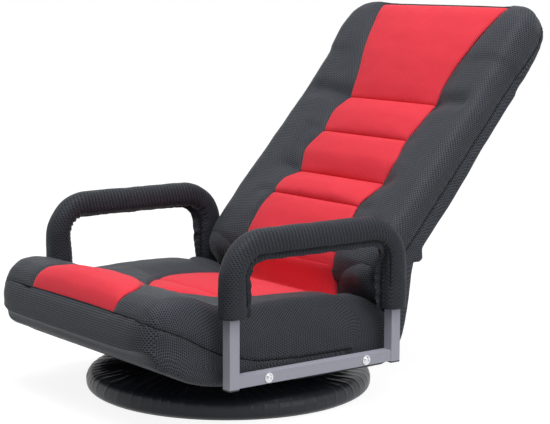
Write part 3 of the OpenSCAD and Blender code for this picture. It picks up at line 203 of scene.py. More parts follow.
def bump(x, width):
    return np.exp(-(x / width) ** 2)


def tucked(x, depth_and_width):
    """How deep a panel lies at a distance from its edge."""
    return depth_and_width[0] * np.exp(-x / depth_and_width[1])


def rise(x, low, high):
    """0 below low, 1 above high, and smooth between them."""
    t = np.clip((x - low) / (high - low), 0, 1)
    return t * t * (3 - 2 * t)


def squared(v, power):
    """A sine or cosine with its corners pushed out."""
    return np.sign(v) * np.abs(v) ** power


def both_sides(half):
    """The closed loop at each row of a half section (points, rows, 2 or 3) and its mirror image."""
    mirror = np.array([-1] + [1] * (half.shape[2] - 1))
    return np.concatenate([half, half[1:-1][::-1] * mirror], 0).transpose(1, 0, 2)


def out_of_back(co):
    """Points of the back's own frame (x, up the back, out of its face) as the chair's x, y and z."""
    c, s = math.cos(RECLINE), math.sin(RECLINE)
    u, w = co[..., 1], co[..., 2]
    return np.stack([co[..., 0], HINGE[0] + u * c - w * s, HINGE[1] + u * s + w * c], -1)


def straight(co):
    return co


def lengths(co, wrap=False):
    """Arc lengths in metres along the rows and the columns of a grid of points in millimetres."""
    if wrap:
        co = np.concatenate([co, co[:, :1]], 1)
    steps = np.linalg.norm(np.diff(co, axis=1), axis=2)
    climbs = np.linalg.norm(np.diff(co, axis=0), axis=2)
    across = np.concatenate([np.zeros((len(co), 1)), np.cumsum(steps, 1)], 1)
    up = np.concatenate([np.zeros((1, co.shape[1])), np.cumsum(climbs, 0)], 0)
    return across * MM, up * MM


def strip_uv(face):
    """Cloth coordinates of a strip with its underside: across from its middle, and up along its edge."""
    across, up = lengths(face)
    across = across - across[:, face.shape[1] // 2][:, None]
    uv_x = np.concatenate([across, across[:, ::-1], across[:, :1]], 1)
    return np.stack([uv_x, np.repeat(up[:, :1], uv_x.shape[1], 1)], -1)


# Meshes
def new_object(name, points, faces):
    """A smooth mesh from points in metres."""
    me = bpy.data.meshes.new(name)
    me.from_pydata(points, [], faces)
    me.polygons.foreach_set("use_smooth", [True] * len(faces))
    me.update()
    ob = bpy.data.objects.new(name, me)
    scene.collection.objects.link(ob)
    return ob


def grid(name, co, uv, wrap=False, caps=False, flip=False):
    """A mesh from rows of points in millimetres. With wrap, uv has one more column. caps close the ends."""
    rows, cols = co.shape[:2]
    points = [tuple(p) for p in co.reshape(-1, 3) * MM]
    across = cols if wrap else cols - 1
    faces, uvs = [], []
    for i in range(rows - 1):
        for j in range(across):
            k = (j + 1) % cols
            faces.append((i * cols + j, i * cols + k, (i + 1) * cols + k, (i + 1) * cols + j))
            uvs += [uv[i, j], uv[i, j + 1], uv[i + 1, j + 1], uv[i + 1, j]]
    for end, row in enumerate((0, rows - 1) if caps else ()):
        centre = len(points)
        points.append(tuple(co[row].mean(0) * MM))
        middle = uv[row].mean(0)
        for j in range(across):
            a, b = (j, j + 1) if end else (j + 1, j)
            faces.append((row * cols + a % cols, row * cols + b % cols, centre))
            uvs += [uv[row, a], uv[row, b], middle]
    if flip:
        turned, at = [], 0
        for f in faces:
            turned += reversed(uvs[at:at + len(f)])
            at += len(f)
        faces, uvs = [f[::-1] for f in faces], turned
    ob = new_object(name, points, faces)
    layer = ob.data.uv_layers.new(name="Cloth")
    layer.data.foreach_set("uv", np.array(uvs, np.float32).ravel())
    return ob


def reshape(ob, change):
    """Changes an object's mesh by a function of its bmesh."""
    bm = bmesh.new()
    bm.from_mesh(ob.data)
    change(bm)
    bm.to_mesh(ob.data)
    bm.free()


def weld(ob, near=SAME):
    def change(bm):
        bmesh.ops.remove_doubles(bm, verts=bm.verts, dist=near)
        bmesh.ops.recalc_face_normals(bm, faces=bm.faces)

    reshape(ob, change)


def joined(ob, other):
    """Puts the other piece's mesh into the first one's."""
    reshape(ob, lambda bm: bm.from_mesh(other.data))
    bpy.data.objects.remove(other)
    return ob


def soften(ob, chosen, times):
    """Rounds the form where the points are chosen."""
    def change(bm):
        verts = [v for v in bm.verts if chosen(v.co)]
        axes = dict(use_axis_x=True, use_axis_y=True, use_axis_z=True)
        for _ in range(times):
            bmesh.ops.smooth_vert(bm, verts=verts, factor=0.5, **axes)

    reshape(ob, change)


def flat_uv(ob, chosen, a, b):
    """Straight-on cloth coordinates for the faces chosen."""
    layer = ob.data.uv_layers["Cloth"].data
    for p in ob.data.polygons:
        if chosen(p.center, p.normal):
            for i in p.loop_indices:
                v = ob.data.vertices[ob.data.loops[i].vertex_index].co
                layer[i].uv = (v[a], v[b])


def skin(name, outer, thick):
    """A thin closed skin from a grid of outer points, with its inside offset along the normals."""
    ob = grid(name, outer, np.stack(lengths(outer), -1))
    mod = ob.modifiers.new("thick", "SOLIDIFY")
    mod.thickness = thick * MM
    mod.offset = -1
    mod.use_even_offset = True
    bpy.context.view_layer.update()
    dg = bpy.context.evaluated_depsgraph_get()
    me = bpy.data.meshes.new_from_object(ob.evaluated_get(dg), depsgraph=dg)
    ob.modifiers.clear()
    ob.data = me
    weld(ob)
    return ob


def finish_piece(ob, mat, body, nodes=()):
    """Material, body and the nodes that the piece stands for."""
    ob.data.materials.append(mat)
    if body:
        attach(ob, body)
    if nodes:
        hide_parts(*nodes)


# Materials
def new_material(name, color, rough=0.6, metal=0.0, spec=0.5, sheen=0.0):
    mat = bpy.data.materials.new(name)
    mat.use_nodes = True
    tree = mat.node_tree
    tree.nodes.clear()
    out = tree.nodes.new("ShaderNodeOutputMaterial")
    bsdf = tree.nodes.new("ShaderNodeBsdfPrincipled")
    tree.links.new(bsdf.outputs["BSDF"], out.inputs["Surface"])
    bsdf.inputs["Base Color"].default_value = (*color, 1)
    bsdf.inputs["Roughness"].default_value = rough
    bsdf.inputs["Metallic"].default_value = metal
    bsdf.inputs["Specular IOR Level"].default_value = spec
    bsdf.inputs["Sheen Weight"].default_value = sheen
    bsdf.inputs["Sheen Roughness"].default_value = 0.4
    mat.diffuse_color = (*color, 1)
    return mat, tree, bsdf


def plug(tree, value, socket):
    """Links another node's output to a socket, or sets it."""
    if isinstance(value, bpy.types.NodeSocket):
        tree.links.new(value, socket)
    else:
        socket.default_value = value


def add(tree, kind, **settings):
    """A node with its sockets linked or set, and its other settings."""
    node = tree.nodes.new(kind)
    for key, value in settings.items():
        key = key.replace("_", " ") if key.replace("_", " ") in node.inputs else key
        if key in node.inputs:
            plug(tree, value, node.inputs[key])
        else:
            setattr(node, key, value)
    return node


def maths(tree, operation, a, b, clamp=False):
    node = add(tree, "ShaderNodeMath", operation=operation, use_clamp=clamp)
    plug(tree, a, node.inputs[0])
    plug(tree, b, node.inputs[1])
    return node.outputs[0]


def mixed(tree, share, low, high, blend="MIX"):
    """A colour by a share between two colours, each a plain colour or a socket."""
    node = add(tree, "ShaderNodeMix", data_type="RGBA", blend_type=blend)
    factor, colour_a, colour_b, result = node.inputs[0], node.inputs[6], node.inputs[7], node.outputs[2]
    for value, socket in ((share, factor), (low, colour_a), (high, colour_b)):
        plug(tree, (*value, 1) if isinstance(value, tuple) else value, socket)
    return result


def object_place(tree):
    return tree.nodes.new("ShaderNodeTexCoord").outputs["Object"]


def set_bump(tree, bsdf, height, distance, strength):
    node = add(tree, "ShaderNodeBump", Distance=distance, Strength=strength, Height=height)
    tree.links.new(node.outputs["Normal"], bsdf.inputs["Normal"])


def brick(tree, width, height, gap, smooth=0.3):
    """Staggered cells, sizes in millimetres: 1 on the threads, 0 in the holes."""
    uv = add(tree, "ShaderNodeUVMap", uv_map="Cloth").outputs[0]
    per_mm = 0.1
    node = add(tree, "ShaderNodeTexBrick", Vector=uv, Scale=per_mm / MM,
               Brick_Width=width * per_mm, Row_Height=height * per_mm,
               Mortar_Size=gap * per_mm, Mortar_Smooth=smooth)
    return node.outputs["Fac"]


def mottled(tree, colour, scale, share, tint):
    """The colour, turned towards a tint in broad soft patches."""
    broad = add(tree, "ShaderNodeTexNoise", Scale=scale, Detail=3.0, Vector=object_place(tree))
    return mixed(tree, maths(tree, "MULTIPLY", broad.outputs["Fac"], share), colour, tint, "MULTIPLY")


def spacer_mesh(name, hole, thread, width, height, gap):
    """Knitted mesh with staggered holes."""
    mat, tree, bsdf = new_material(name, thread, 0.55, spec=0.16, sheen=0.03)
    cells = brick(tree, width, height, gap)
    colour = mottled(tree, mixed(tree, cells, hole, thread), 22.0, 0.45, (0.72, 0.74, 0.78))
    tree.links.new(colour, bsdf.inputs["Base Color"])
    set_bump(tree, bsdf, cells, 0.0008, 0.9)
    return mat


def ribbed_mesh(name, deep, high, pitch):
    """Fine knit with ribs up the cloth."""
    one_wave = 0.31416
    mat, tree, bsdf = new_material(name, high, 0.72, spec=0.3, sheen=0.1)
    uv = add(tree, "ShaderNodeUVMap", uv_map="Cloth").outputs[0]
    wave = add(tree, "ShaderNodeTexWave", Scale=one_wave / (pitch * MM), Vector=uv)
    ribs = maths(tree, "MULTIPLY", wave.outputs["Fac"], 0.7)
    knit = maths(tree, "MULTIPLY", brick(tree, 1.9, 1.25, 0.35, 0.9), 0.3)
    height = maths(tree, "ADD", ribs, knit)
    colour = mottled(tree, mixed(tree, height, deep, high), 16.0, 0.3, (0.92, 0.82, 0.84))
    tree.links.new(colour, bsdf.inputs["Base Color"])
    set_bump(tree, bsdf, height, 0.0003, 0.7)
    return mat


def noisy(name, color, rough, metal=0.0, spec=0.5, scale=900.0, depth=0.00005, vary=0.2, wear=None):
    """A painted, plated, moulded or woven surface: fine grain, slight colour change and uneven gloss."""
    mat, tree, bsdf = new_material(name, color, rough, metal, spec)
    coords = object_place(tree)
    fine = add(tree, "ShaderNodeTexNoise", Scale=scale, Detail=4.0, Roughness=0.6, Vector=coords)
    broad = add(tree, "ShaderNodeTexNoise", Scale=scale / 14, Detail=3.0, Vector=coords)
    low = tuple(c * (1 - vary) for c in color)
    high = tuple(min(1.0, c * (1 + vary)) for c in color)
    tint = mixed(tree, broad.outputs["Fac"], low, high)
    if wear:
        edge = tree.nodes.new("ShaderNodeNewGeometry").outputs["Pointiness"]
        worn = maths(tree, "MULTIPLY", maths(tree, "SUBTRACT", edge, 0.52), 9.0, clamp=True)
        tint = mixed(tree, maths(tree, "MULTIPLY", worn, fine.outputs["Fac"]), tint, wear)
    tree.links.new(tint, bsdf.inputs["Base Color"])
    gloss = maths(tree, "ADD", maths(tree, "MULTIPLY", broad.outputs["Fac"], 0.16), rough - 0.08)
    tree.links.new(gloss, bsdf.inputs["Roughness"])
    set_bump(tree, bsdf, fine.outputs["Fac"], depth, 0.6)
    return mat


HOLE = (0.0014, 0.0016, 0.002)
BLACK = spacer_mesh("black_mesh", HOLE, (0.073, 0.080, 0.095), 4.7, 3.9, 1.05)
BLACK_ARM = spacer_mesh("black_mesh_sleeve", HOLE, (0.044, 0.049, 0.061), 4.4, 3.7, 1.0)
RED = ribbed_mesh("red_mesh", (0.56, 0.018, 0.034), (0.98, 0.052, 0.080), 3.4)
POLYURETHANE = noisy("leatherette", (0.022, 0.024, 0.032), 0.36, spec=0.3, depth=0.00012)
POWDER = noisy("grey_powder_coat", (0.39, 0.397, 0.465), 0.5, spec=0.25, scale=1400.0, vary=0.05,
               wear=(0.42, 0.42, 0.47))
STEEL = noisy("black_paint", (0.016, 0.016, 0.018), 0.45, scale=700.0, wear=(0.05, 0.05, 0.055))
ZINC = noisy("zinc_plate", (0.72, 0.73, 0.75), 0.28, metal=1.0, scale=600.0, depth=0.00003, vary=0.06)
RUBBER = noisy("rubber", (0.012, 0.012, 0.012), 0.8, spec=0.3, scale=400.0, depth=0.0001)
MOULDED = noisy("moulded_plastic", (0.02, 0.02, 0.022), 0.5, vary=0.15)
PALE_PLASTIC = noisy("pale_plastic", (0.55, 0.55, 0.52), 0.45, scale=600.0, depth=0.00004, vary=0.05)
WEBBING = noisy("elastic_webbing", (0.02, 0.02, 0.022), 0.85, spec=0.2, scale=800.0, depth=0.0003, vary=0.3)
# Painted shade: near-black cords laid along the sunk seams and the sleeves' slits stand for the shade in those
# grooves
SEAM_SHADE = noisy("seam_shade", (0.008, 0.008, 0.010), 0.75, spec=0.2, depth=0.0001, vary=0.25)
THREAD = noisy("thread", (0.032, 0.034, 0.040), 0.6)


# Cushions
def rows_at(pad, at):
    """Half width, underside, crest, height beside the panel and the panel's half width, in millimetres."""
    rows = np.array(pad["rows"])
    half_w, bottom, crest, beside, panel_w = (pchip(rows[:, 0], rows[:, k], at) for k in range(1, 6))
    heights = [pad["deck"] + v * pad["high"] for v in (bottom, crest, beside)]
    return [half_w * pad["half_w"], *heights, panel_w * pad["half_w"]]


def end_rings(ring, out):
    """The rings that round off an end of a cushion."""
    middle = (ring[:, 2].max() + ring[:, 2].min()) / 2
    made = []
    for share, narrower in ENDS:
        r = ring.copy()
        r[:, 2] = middle + (ring[:, 2] - middle) * math.sqrt(1 - share * share)
        r[:, 0] = ring[:, 0] * narrower
        r[:, 1] = ring[:, 1] + out * share
        made.append(r)
    return np.array(made)


def side_line(co, cols, heights):
    """The line on one side of a cushion that has, in each row, the height given."""
    line = []
    for row, z in zip(co[RINGS:-RINGS], heights):
        r = row[cols]
        r = r[np.argsort(r[:, 2])]
        r = r[np.abs(r[:, 0]) > 0.8 * np.abs(r[:, 0]).max()]
        if r[0, 2] < z < r[-1, 2]:
            line.append((np.interp(z, r[:, 2], r[:, 0]), row[0, 1], z))
    return np.array(line)


def cushion(name, pad, panels, place, dents, low_keys, corner_most, seam_keys, cross=None):
    """The black cushion with its boxing and its other side as one closed skin: side rolls, a seam round the
    sides and a pocket under the coloured panels. Also gives the lines of its stitches and of its seams."""
    length = pad["length"]
    first, last = pad["rows"][0][0], pad["rows"][-1][0]
    nose_rows, other_rows = int(length / 9), int(length / 3)
    at = np.concatenate([np.linspace(first, NOSE, nose_rows), np.linspace(NOSE, last, other_rows)[1:]])
    half_w, bottom, crest, beside, panel_w = rows_at(pad, at)
    low = np.minimum(pchip(*np.array(low_keys, float).T, at), bottom)
    corner = np.clip((crest - low) * 0.2, 2.0, corner_most)
    base = np.maximum(bottom, low + corner + 1.5)
    wall = half_w - 0.4
    pocket = ((at > panels[0][1]) & (at < panels[-1][2])).astype(float)

    # the underside with its rounded corner, the visible side and top, and the pocket that the panels lie in
    flat = [np.stack([(wall - corner) * f, low], -1) for f in (0.0, 0.2, 0.4, 0.6, 0.8, 0.93)]
    under = list(flat)
    for g in np.radians((0, 22, 45, 68, 90)):
        under.append(np.stack([wall - corner * (1 - math.sin(g)), low + corner * (1 - math.cos(g))], -1))
    under += [np.stack([wall, low + corner + (base - low - corner) * f], -1) for f in (0.2, 0.4, 0.6, 0.8)]
    points = [np.stack([wall, base], -1)]
    for inset, high in SIDE:
        points.append(np.stack([half_w * (1 - inset), base + high * (crest - base)], -1))
    points.append(np.stack([(half_w * CREST_AT + panel_w) / 2, beside + (crest - beside) * 0.8], -1))
    points.append(np.stack([panel_w + 0.3, beside - 1.0], -1))
    shown = spline(points, [7, 8, 8, 6, 6, 12, 13])
    edge_z = shown[-1][..., 1].copy()
    shown[..., 1] -= 4.5 * bump(shown[..., 0] - panel_w, 7.0) * pocket
    depth = PANEL_T * pocket
    tail = [np.stack([panel_w - inset, edge_z - 1 - depth * f], -1) for inset, f in ((0.5, 0.6), (2.0, 1.0))]
    tail += [np.stack([panel_w * f, beside - 1 - depth], -1) for f in (0.6, 0.3, 0.0)]
    half = np.concatenate([np.array(under), shown, np.array(tail)], 0)
    loop = both_sides(half)
    y = pad["start"] + at * length
    co = np.stack([loop[..., 0], np.repeat(y[:, None], loop.shape[1], 1), loop[..., 1]], -1)
    co = np.concatenate([end_rings(co[0], -min(1.0, first * length))[::-1], co,
                         end_rings(co[-1], (1 - last) * length)], 0)

    along = np.concatenate([[at[0]] * RINGS, at, [at[-1]] * RINGS])
    column = np.arange(co.shape[1])
    mirrored = np.where(column < len(half), column, co.shape[1] - column)
    top_starts, top_ends = len(under), len(under) + len(shown)
    on_top = ((mirrored >= top_starts) & (mirrored < top_ends))[None, :]
    on_wall = ((mirrored >= len(flat)) & (mirrored < top_ends))[None, :]
    outward = np.sign(co[..., 0])
    start_z = np.interp(along, at, base)[:, None]
    top_z = np.interp(along, at, crest)[:, None]
    share = np.clip((co[..., 2] - start_z) / np.maximum(top_z - start_z, 5), 0, 1)

    # soft unevenness of foam under stretched mesh, and the dents where the panels' seams pull
    co[..., 2] += uneven(co, *FOAM) * on_top * rise(share, 0.15, 0.6)
    co[..., 0] += outward * (uneven(co, (60.0, 1.3, 900)) - 0.6) * on_wall * rise(1 - share, 0.05, 0.6)
    for s, deep, width, (near, far) in dents:
        x = np.abs(co[..., 0])
        reach = rise(x, near, near + 12) * (1 - rise(x, far - 30, far))
        co[..., 2] -= deep * bump((along - s) * length, width)[:, None] * reach * on_top

    # the seam along the sides, with the fabric drawn in to it, and the puckers that run from it
    z_seam = np.interp(along, *np.array(seam_keys, float).T)[:, None]
    side_on = rise(np.abs(co[..., 0]), 150, 215) * on_wall
    off = co[..., 2] - z_seam
    pucker = fractal(np.stack([co[..., 1] * 2.2, off * 0.35, co[..., 0] * 0.2], -1), 26.0)
    line, hollow = (depth * bump(off, width) for depth, width in (SEAM_LINE, SEAM_HOLLOW))
    co[..., 0] -= outward * side_on * (line + hollow * (0.5 + pucker))
    if cross:
        co[..., 2] -= cross[1] * on_top * bump((along - cross[0]) * length, 1.3)[:, None]

    across, up = lengths(co, wrap=True)
    uv = np.stack([across - across[:, len(half) - 1][:, None], up], -1)
    lines, shade_lines = [], []
    for side in (1, -1):
        cols = on_wall[0] & (co[len(at) // 2, :, 0] * side > 0)
        lines.append(place(side_line(co, cols, z_seam[RINGS:-RINGS, 0] - STITCH_DROP)))
        shade_lines.append(side_line(co, cols, z_seam[RINGS:-RINGS, 0]))
    if cross:
        # a seam that crosses the cushion, and runs on into those of its sides
        i = RINGS + int(np.argmin(np.abs(at - cross[0])))
        row = co[i, mirrored >= top_starts]
        row = row[row[:, 2] > z_seam[i, 0]]
        row = row[np.argsort(-row[:, 0])]
        left, right = (c[c[:, 1] > row[0, 1]] for c in shade_lines)
        shade_lines = [np.concatenate([left[::-1], row, right], 0)]
    return grid(name, place(co), uv, wrap=True, caps=True, flip=True), lines, [place(c) for c in shade_lines]


def shade_cord(name, paths, radius, body):
    """A thin near-black cord along lines of points in millimetres, closed at its ends: painted shade along sunk
    seams and open slits.
    """
    made = None
    round_it = np.linspace(0, 2 * math.pi, 8, endpoint=False)[None, :, None]
    for path in paths:
        for _ in range(4):
            path = np.concatenate([path[:1], (path[:-2] + 2 * path[1:-1] + path[2:]) / 4, path[-1:]], 0)
        flow = np.gradient(path, axis=0)
        flow /= np.linalg.norm(flow, axis=1)[:, None]
        side = np.cross(flow, (0, 0, 1.0))
        side /= np.maximum(np.linalg.norm(side, axis=1)[:, None], 1e-6)
        up = np.cross(side, flow)
        co = path[:, None] + radius * (side[:, None] * np.cos(round_it) + up[:, None] * np.sin(round_it))
        ob = grid(name, co, np.stack(lengths(co, wrap=True), -1), wrap=True, caps=True)
        made = ob if made is None else joined(made, ob)
    weld(made)
    finish_piece(made, SEAM_SHADE, body)


def stitches(name, lines, body, length=4.2, gap=3.0, thick=0.9):
    """Short raised threads along a line of points on the left side and one on the right."""
    points, faces = [], []
    for line, side in zip(lines, (1.0, -1.0)):
        d = np.concatenate([[0], np.cumsum(np.linalg.norm(np.diff(line, axis=0), axis=1))])
        out = np.array([side, 0, 0])
        for s in np.arange(6, d[-1] - 6, length + gap):
            ends = [np.array([np.interp(s + length * f, d, line[:, c]) for c in range(3)])
                    for f in (0, 0.25, 0.75, 1)]
            fore = ends[3] - ends[0]
            across = np.cross(out, fore / np.linalg.norm(fore))
            n0 = len(points)
            for p, up, wide in zip(ends, (-0.5, 0.55, 0.55, -0.5), (0.35, 0.5, 0.5, 0.35)):
                for g in np.arange(6) * math.pi / 3:
                    ring = out * (up + math.sin(g) * wide) + across * math.cos(g) * wide
                    points.append(tuple((p + ring * thick) * MM))
            for r in range(3):
                for a in range(6):
                    b = (a + 1) % 6
                    faces.append((n0 + r * 6 + a, n0 + r * 6 + b, n0 + r * 6 + 6 + b, n0 + r * 6 + 6 + a))
            faces += [tuple(n0 + 5 - a for a in range(6)), tuple(n0 + 18 + a for a in range(6))]
    ob = new_object(name, points, faces)
    weld(ob)
    finish_piece(ob, THREAD, body)


def panel(name, pad, low, high, place, puff, runs_on):
    """A crowned panel tucked into its seams. runs_on says whether each end goes on without a seam."""
    rows = max(12, int((high - low) * pad["length"] / 2.6))
    cols = 61
    v = np.linspace(0, 1, rows)
    at = low + (high - low) * v
    beside, half_w = rows_at(pad, at)[3:]
    half_w = half_w - 0.3
    evenly = np.linspace(-1, 1, cols)
    u = np.sin(evenly * math.pi / 2) * 0.35 + evenly * 0.65
    x = half_w[:, None] * u[None, :]
    y = pad["start"] + at * pad["length"]
    y = np.clip(y, y[0] + 0.3, y[-1] - 0.3)
    from_side = half_w[:, None] - np.abs(x)
    far = np.full(rows, 1e3)
    from_end = np.minimum(far if runs_on[0] else y - y[0], far if runs_on[1] else y[-1] - y)[:, None]
    swing = np.abs(2 * v - 1) ** 3.2
    swing[(v < 0.5) & runs_on[0]] = 0
    swing[(v > 0.5) & runs_on[1]] = 0
    crown = (1 - np.abs(u[None, :]) ** 2.6) * (1 - swing[:, None])
    tuck = tucked(from_side, SIDE_TUCK) + tucked(from_end, END_TUCK)
    co = np.stack([x, np.repeat(y[:, None], cols, 1), beside[:, None] + puff * crown - tuck], -1)
    inside = rise(np.minimum(from_side, from_end), 0, 14)
    co[..., 2] += uneven(co, *FOAM_PANEL) * inside
    under = co[:, ::-1].copy()
    under[..., 2] = np.minimum(beside[:, None] - PANEL_T + 0.4, under[..., 2] - 1.2)
    under[..., 0] *= np.clip(1 - 1.0 / np.maximum(half_w, 5), 0.5, 1)[:, None]
    return grid(name, place(np.concatenate([co, under], 1)), strip_uv(co), wrap=True, caps=True)


def dressed(ob, lines, shade_lines, thick, body, nodes, pad, panels, place):
    """A cushion's finish, stitches, a near-black cord of painted shade in its seam's groove and coloured panels.
    The two panels beside the crease run on into it without a seam."""
    finish_piece(ob, BLACK, body, nodes)
    stitches(body + "_stitches", lines, body)
    # The near-black cord along the seam is painted shade in its groove
    shade_cord(body + "_seam", shade_lines, thick, body)
    for name, low, high in panels:
        puff = FLAT_PUFF if name == "seat_panel_middle" else PUFF
        runs_on = (name == "back_panel_lower", name == "seat_panel_rear")
        ob = panel(name.replace("panel", "red"), pad, low, high, place, puff, runs_on)
        finish_piece(ob, RED, body, [name])


def seat_soft():
    dents = [(0.3747, 3.0, 26, (20, 250)), (0.583, 2.0, 14, (110, 200))]
    ob, lines, shade_lines = cushion("seat_cushion", SEAT, SEAT_PANELS, straight, dents, SEAT_LOW, 14.0, SEAT_SEAM,
                               (0.034, 10.0))
    soften(ob, lambda p: p.y < -0.330 and p.z < 0.192, 26)
    flat_uv(ob, lambda p, n: n.z < -0.45, 0, 1)
    flat_uv(ob, lambda p, n: p.y < -0.325 and p.z < 0.2075 and n.y < -0.45, 0, 2)
    dressed(ob, lines, shade_lines, 1.25, "seat", ["seat_pad", "seat_tray"], SEAT, SEAT_PANELS, straight)


def back_soft():
    dents = [(0.6208, 11.0, 17, (125, 245)), (0.3228, 6.0, 12, (128, 190)), (0.2142, 3.0, 12, (130, 190)),
             (0.4738, 2.5, 12, (125, 180))]
    made = cushion("back_cushion", BACK, BACK_PANELS, out_of_back, dents, BACK_LOW, 11.0, BACK_SEAM)
    dressed(*made, 1.1, "back", ["back_pad", "back_shell"], BACK, BACK_PANELS, out_of_back)


# Waist: the fabric that folds at the hinge. Its lines run from seat to back, in y and z: the red strip,
# the inside below it, the crest of the side rolls with its deepest point, and the outside
DEEPEST = (162, 166)
STRIP = [(96, 171.6), (107, 172.0), (122, 171.5), (134, 170.0), (140, 169.5), (143, 173), (144, 183),
         (143.5, 195), (141.9, 208), (138.0, 225.6), (138.0, 233.5)]
INNER = [(78, 156), (100, 160), (122, 165), (138, 165), (146, 166.5), (149, 174), (149.5, 188),
         (147.5, 207), (142, 229)]
CREST = [(66, 190), (78, 200), (92, 200.5), (110, 196.5), (127, 190), (143, 182), (156, 173), (162, 166),
         (156, 178), (143, 194), (130, 209), (124, 225), (126, 239), (134, 250), (144, 255)]
OUTER = [(74, 65.0), (105, 64.2), (140, 64.0), (167, 66.0), (192.6, 84.3), (211.3, 120), (223.2, 171),
         (231.7, 222), (241.5, 254)]


def waist_cloth():
    """The black cloth that closes the gap at the hinge, with the rear ends of the seat's side rolls."""
    n, corner = 84, 12.0
    inner, outer, crest = even(INNER, n), even(OUTER, n), even(CREST, n)
    s = np.linspace(0, 1, n)
    wall = pchip([0, 0.05, 0.3, 0.5, 0.85, 1], [257, 262.6, 263.2, 263.0, 262.2, 258.5], s)
    deepest = s[np.argmin(np.linalg.norm(crest - np.array(DEEPEST), axis=1))]
    fold = bump(s - deepest, 0.032)
    tall = np.linalg.norm(crest - outer, axis=1)
    c = corner / tall
    strip_w = pchip([0, 0.5, 1], [143, 142, 141], s)

    # points of the half section: x, share of the way from the outside to the crest, and on to the inside
    half = [((wall - corner) * f, 0, 0) for f in (0.0, 0.25, 0.5, 0.75, 0.92)]
    half += [(wall - corner * (1 - math.sin(g)), c * (1 - math.cos(g)), 0)
             for g in np.radians((0, 22, 45, 68, 90))]
    side = [(wall, c + 0.05, 0), (wall, 0.40, 0), (wall - 1.0, 0.62, 0), (wall - 5 - 2 * fold, 0.83, 0),
            (wall - 14 - 3 * fold, 0.96, 0), (wall - 34, 1.0, 0), (wall - 66, 0.97, 0.2),
            (strip_w + 24, 0.965, 0.55), (strip_w + 3, 0.965, 0.97)]
    middle = [(strip_w * f, 0.965, 1.03) for f in (0.97, 0.6, 0.3, 0.0)]
    half, side, middle = ([np.stack([np.broadcast_to(v, s.shape) for v in p], -1) for p in points]
                          for points in (half, side, middle))
    loop = both_sides(np.concatenate([half, spline(side, [6, 6, 6, 6, 6, 5, 5, 5]), middle], 0))
    high = outer[:, None, :] + (crest - outer)[:, None, :] * loop[..., 1:2]
    yz = high + (inner[:, None, :] - high) * loop[..., 2:3]
    co = np.concatenate([loop[..., 0:1], yz], -1)

    soft = uneven(co, *FOAM_WAIST) * rise(np.abs(co[..., 0]), 150, 175)
    lifted = ((crest - outer) / tall[:, None])[:, None, :]
    co[..., 1:] += lifted * (soft * rise(loop[..., 1], 0.4, 0.7))[..., None]
    ripple = uneven(co, (38.0, 1.2, 220)) - 0.6
    co[..., 0] += np.sign(co[..., 0]) * ripple * rise(np.abs(co[..., 0]), 240, 258)
    ob = grid("waist_cloth", co, np.stack(lengths(co, wrap=True), -1), wrap=True, caps=True)
    weld(ob)
    finish_piece(ob, BLACK, None, ["waist_cover"])
    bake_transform(ob)


def crease_red():
    """The red strip that runs through the crease from the seat's rear panel to the back's lower one."""
    n, cols, thick = 60, 61, 2.6
    path = even(STRIP, n)
    flow = np.gradient(path, axis=0)
    out = np.stack([-flow[:, 1], flow[:, 0]], -1) / np.linalg.norm(flow, axis=1)[:, None]
    s = np.linspace(0, 1, n)
    half_w = pchip([0, 0.4, 1], [141.6, 140.5, 138.6], s)[:, None]
    u = np.linspace(-1, 1, cols)[None, :]
    x = half_w * u
    puff = pchip([0, 0.3, 0.42, 0.55, 0.9, 1], [7.9, 4.5, 1.5, 4.0, 7.8, 7.9], s)[:, None]
    lift = puff * (1 - np.abs(u) ** 2.6) - tucked(half_w - np.abs(x), SIDE_TUCK)
    lift = lift + 0.8 * fractal(np.stack([x, path[:, 0:1] + 0 * x, path[:, 1:] + 0 * x], -1), 60.0)

    def layer(narrower, height):
        yz = path[:, None, :] + out[:, None, :] * height[..., None]
        return np.concatenate([x[..., None] * narrower, yz], -1)

    face = layer(1.0, lift)
    under = layer(0.995, lift - thick)[:, ::-1]
    ob = grid("crease_red", np.concatenate([face, under], 1), strip_uv(face), wrap=True, caps=True)
    weld(ob)
    finish_piece(ob, RED, None, ["crease_panel"])
    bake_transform(ob)


# Arm sleeves: half the square tube, the arm's middle line from hem to hem, the sleeve's half sizes and bore
TUBE = 10.0
tube_low, tube_high = corners("arm_frame_left")
ARM = dict(x=tube_high[0] - TUBE, front=tube_low[1] + TUBE, rear=tube_high[1] - TUBE, top=tube_high[2] - TUBE,
           bend=60.0, hem_front=201.0, hem_rear=corners("arm_pad_left")[0][2], half_w=21.0, half_t=23.5,
           bore=TUBE + 0.3)
# Parts of the front post, bend, bar, bend and rear post, and how full the sleeve is at each of their ends,
# on the loop's inside and outside
ARM_PARTS = (2, 6, 3, 6, 2)
PAD_IN = [1.18, 1.12, 1.02] + [1.0] * 17
PAD_OUT = [0.93, 0.88, 0.86, 0.84, 0.82, 0.82, 0.86, 0.92, 0.98, 1,
           1, 0.98, 0.93, 0.88, 0.86, 0.88, 0.92, 0.96, 1, 0.95]
# Cloth round the sleeve in metres, and the pitch of the wrinkles and of the ruffles
SLEEVE_ROUND = 0.096
WRINKLE, RUFFLE = 15.0, 9.5


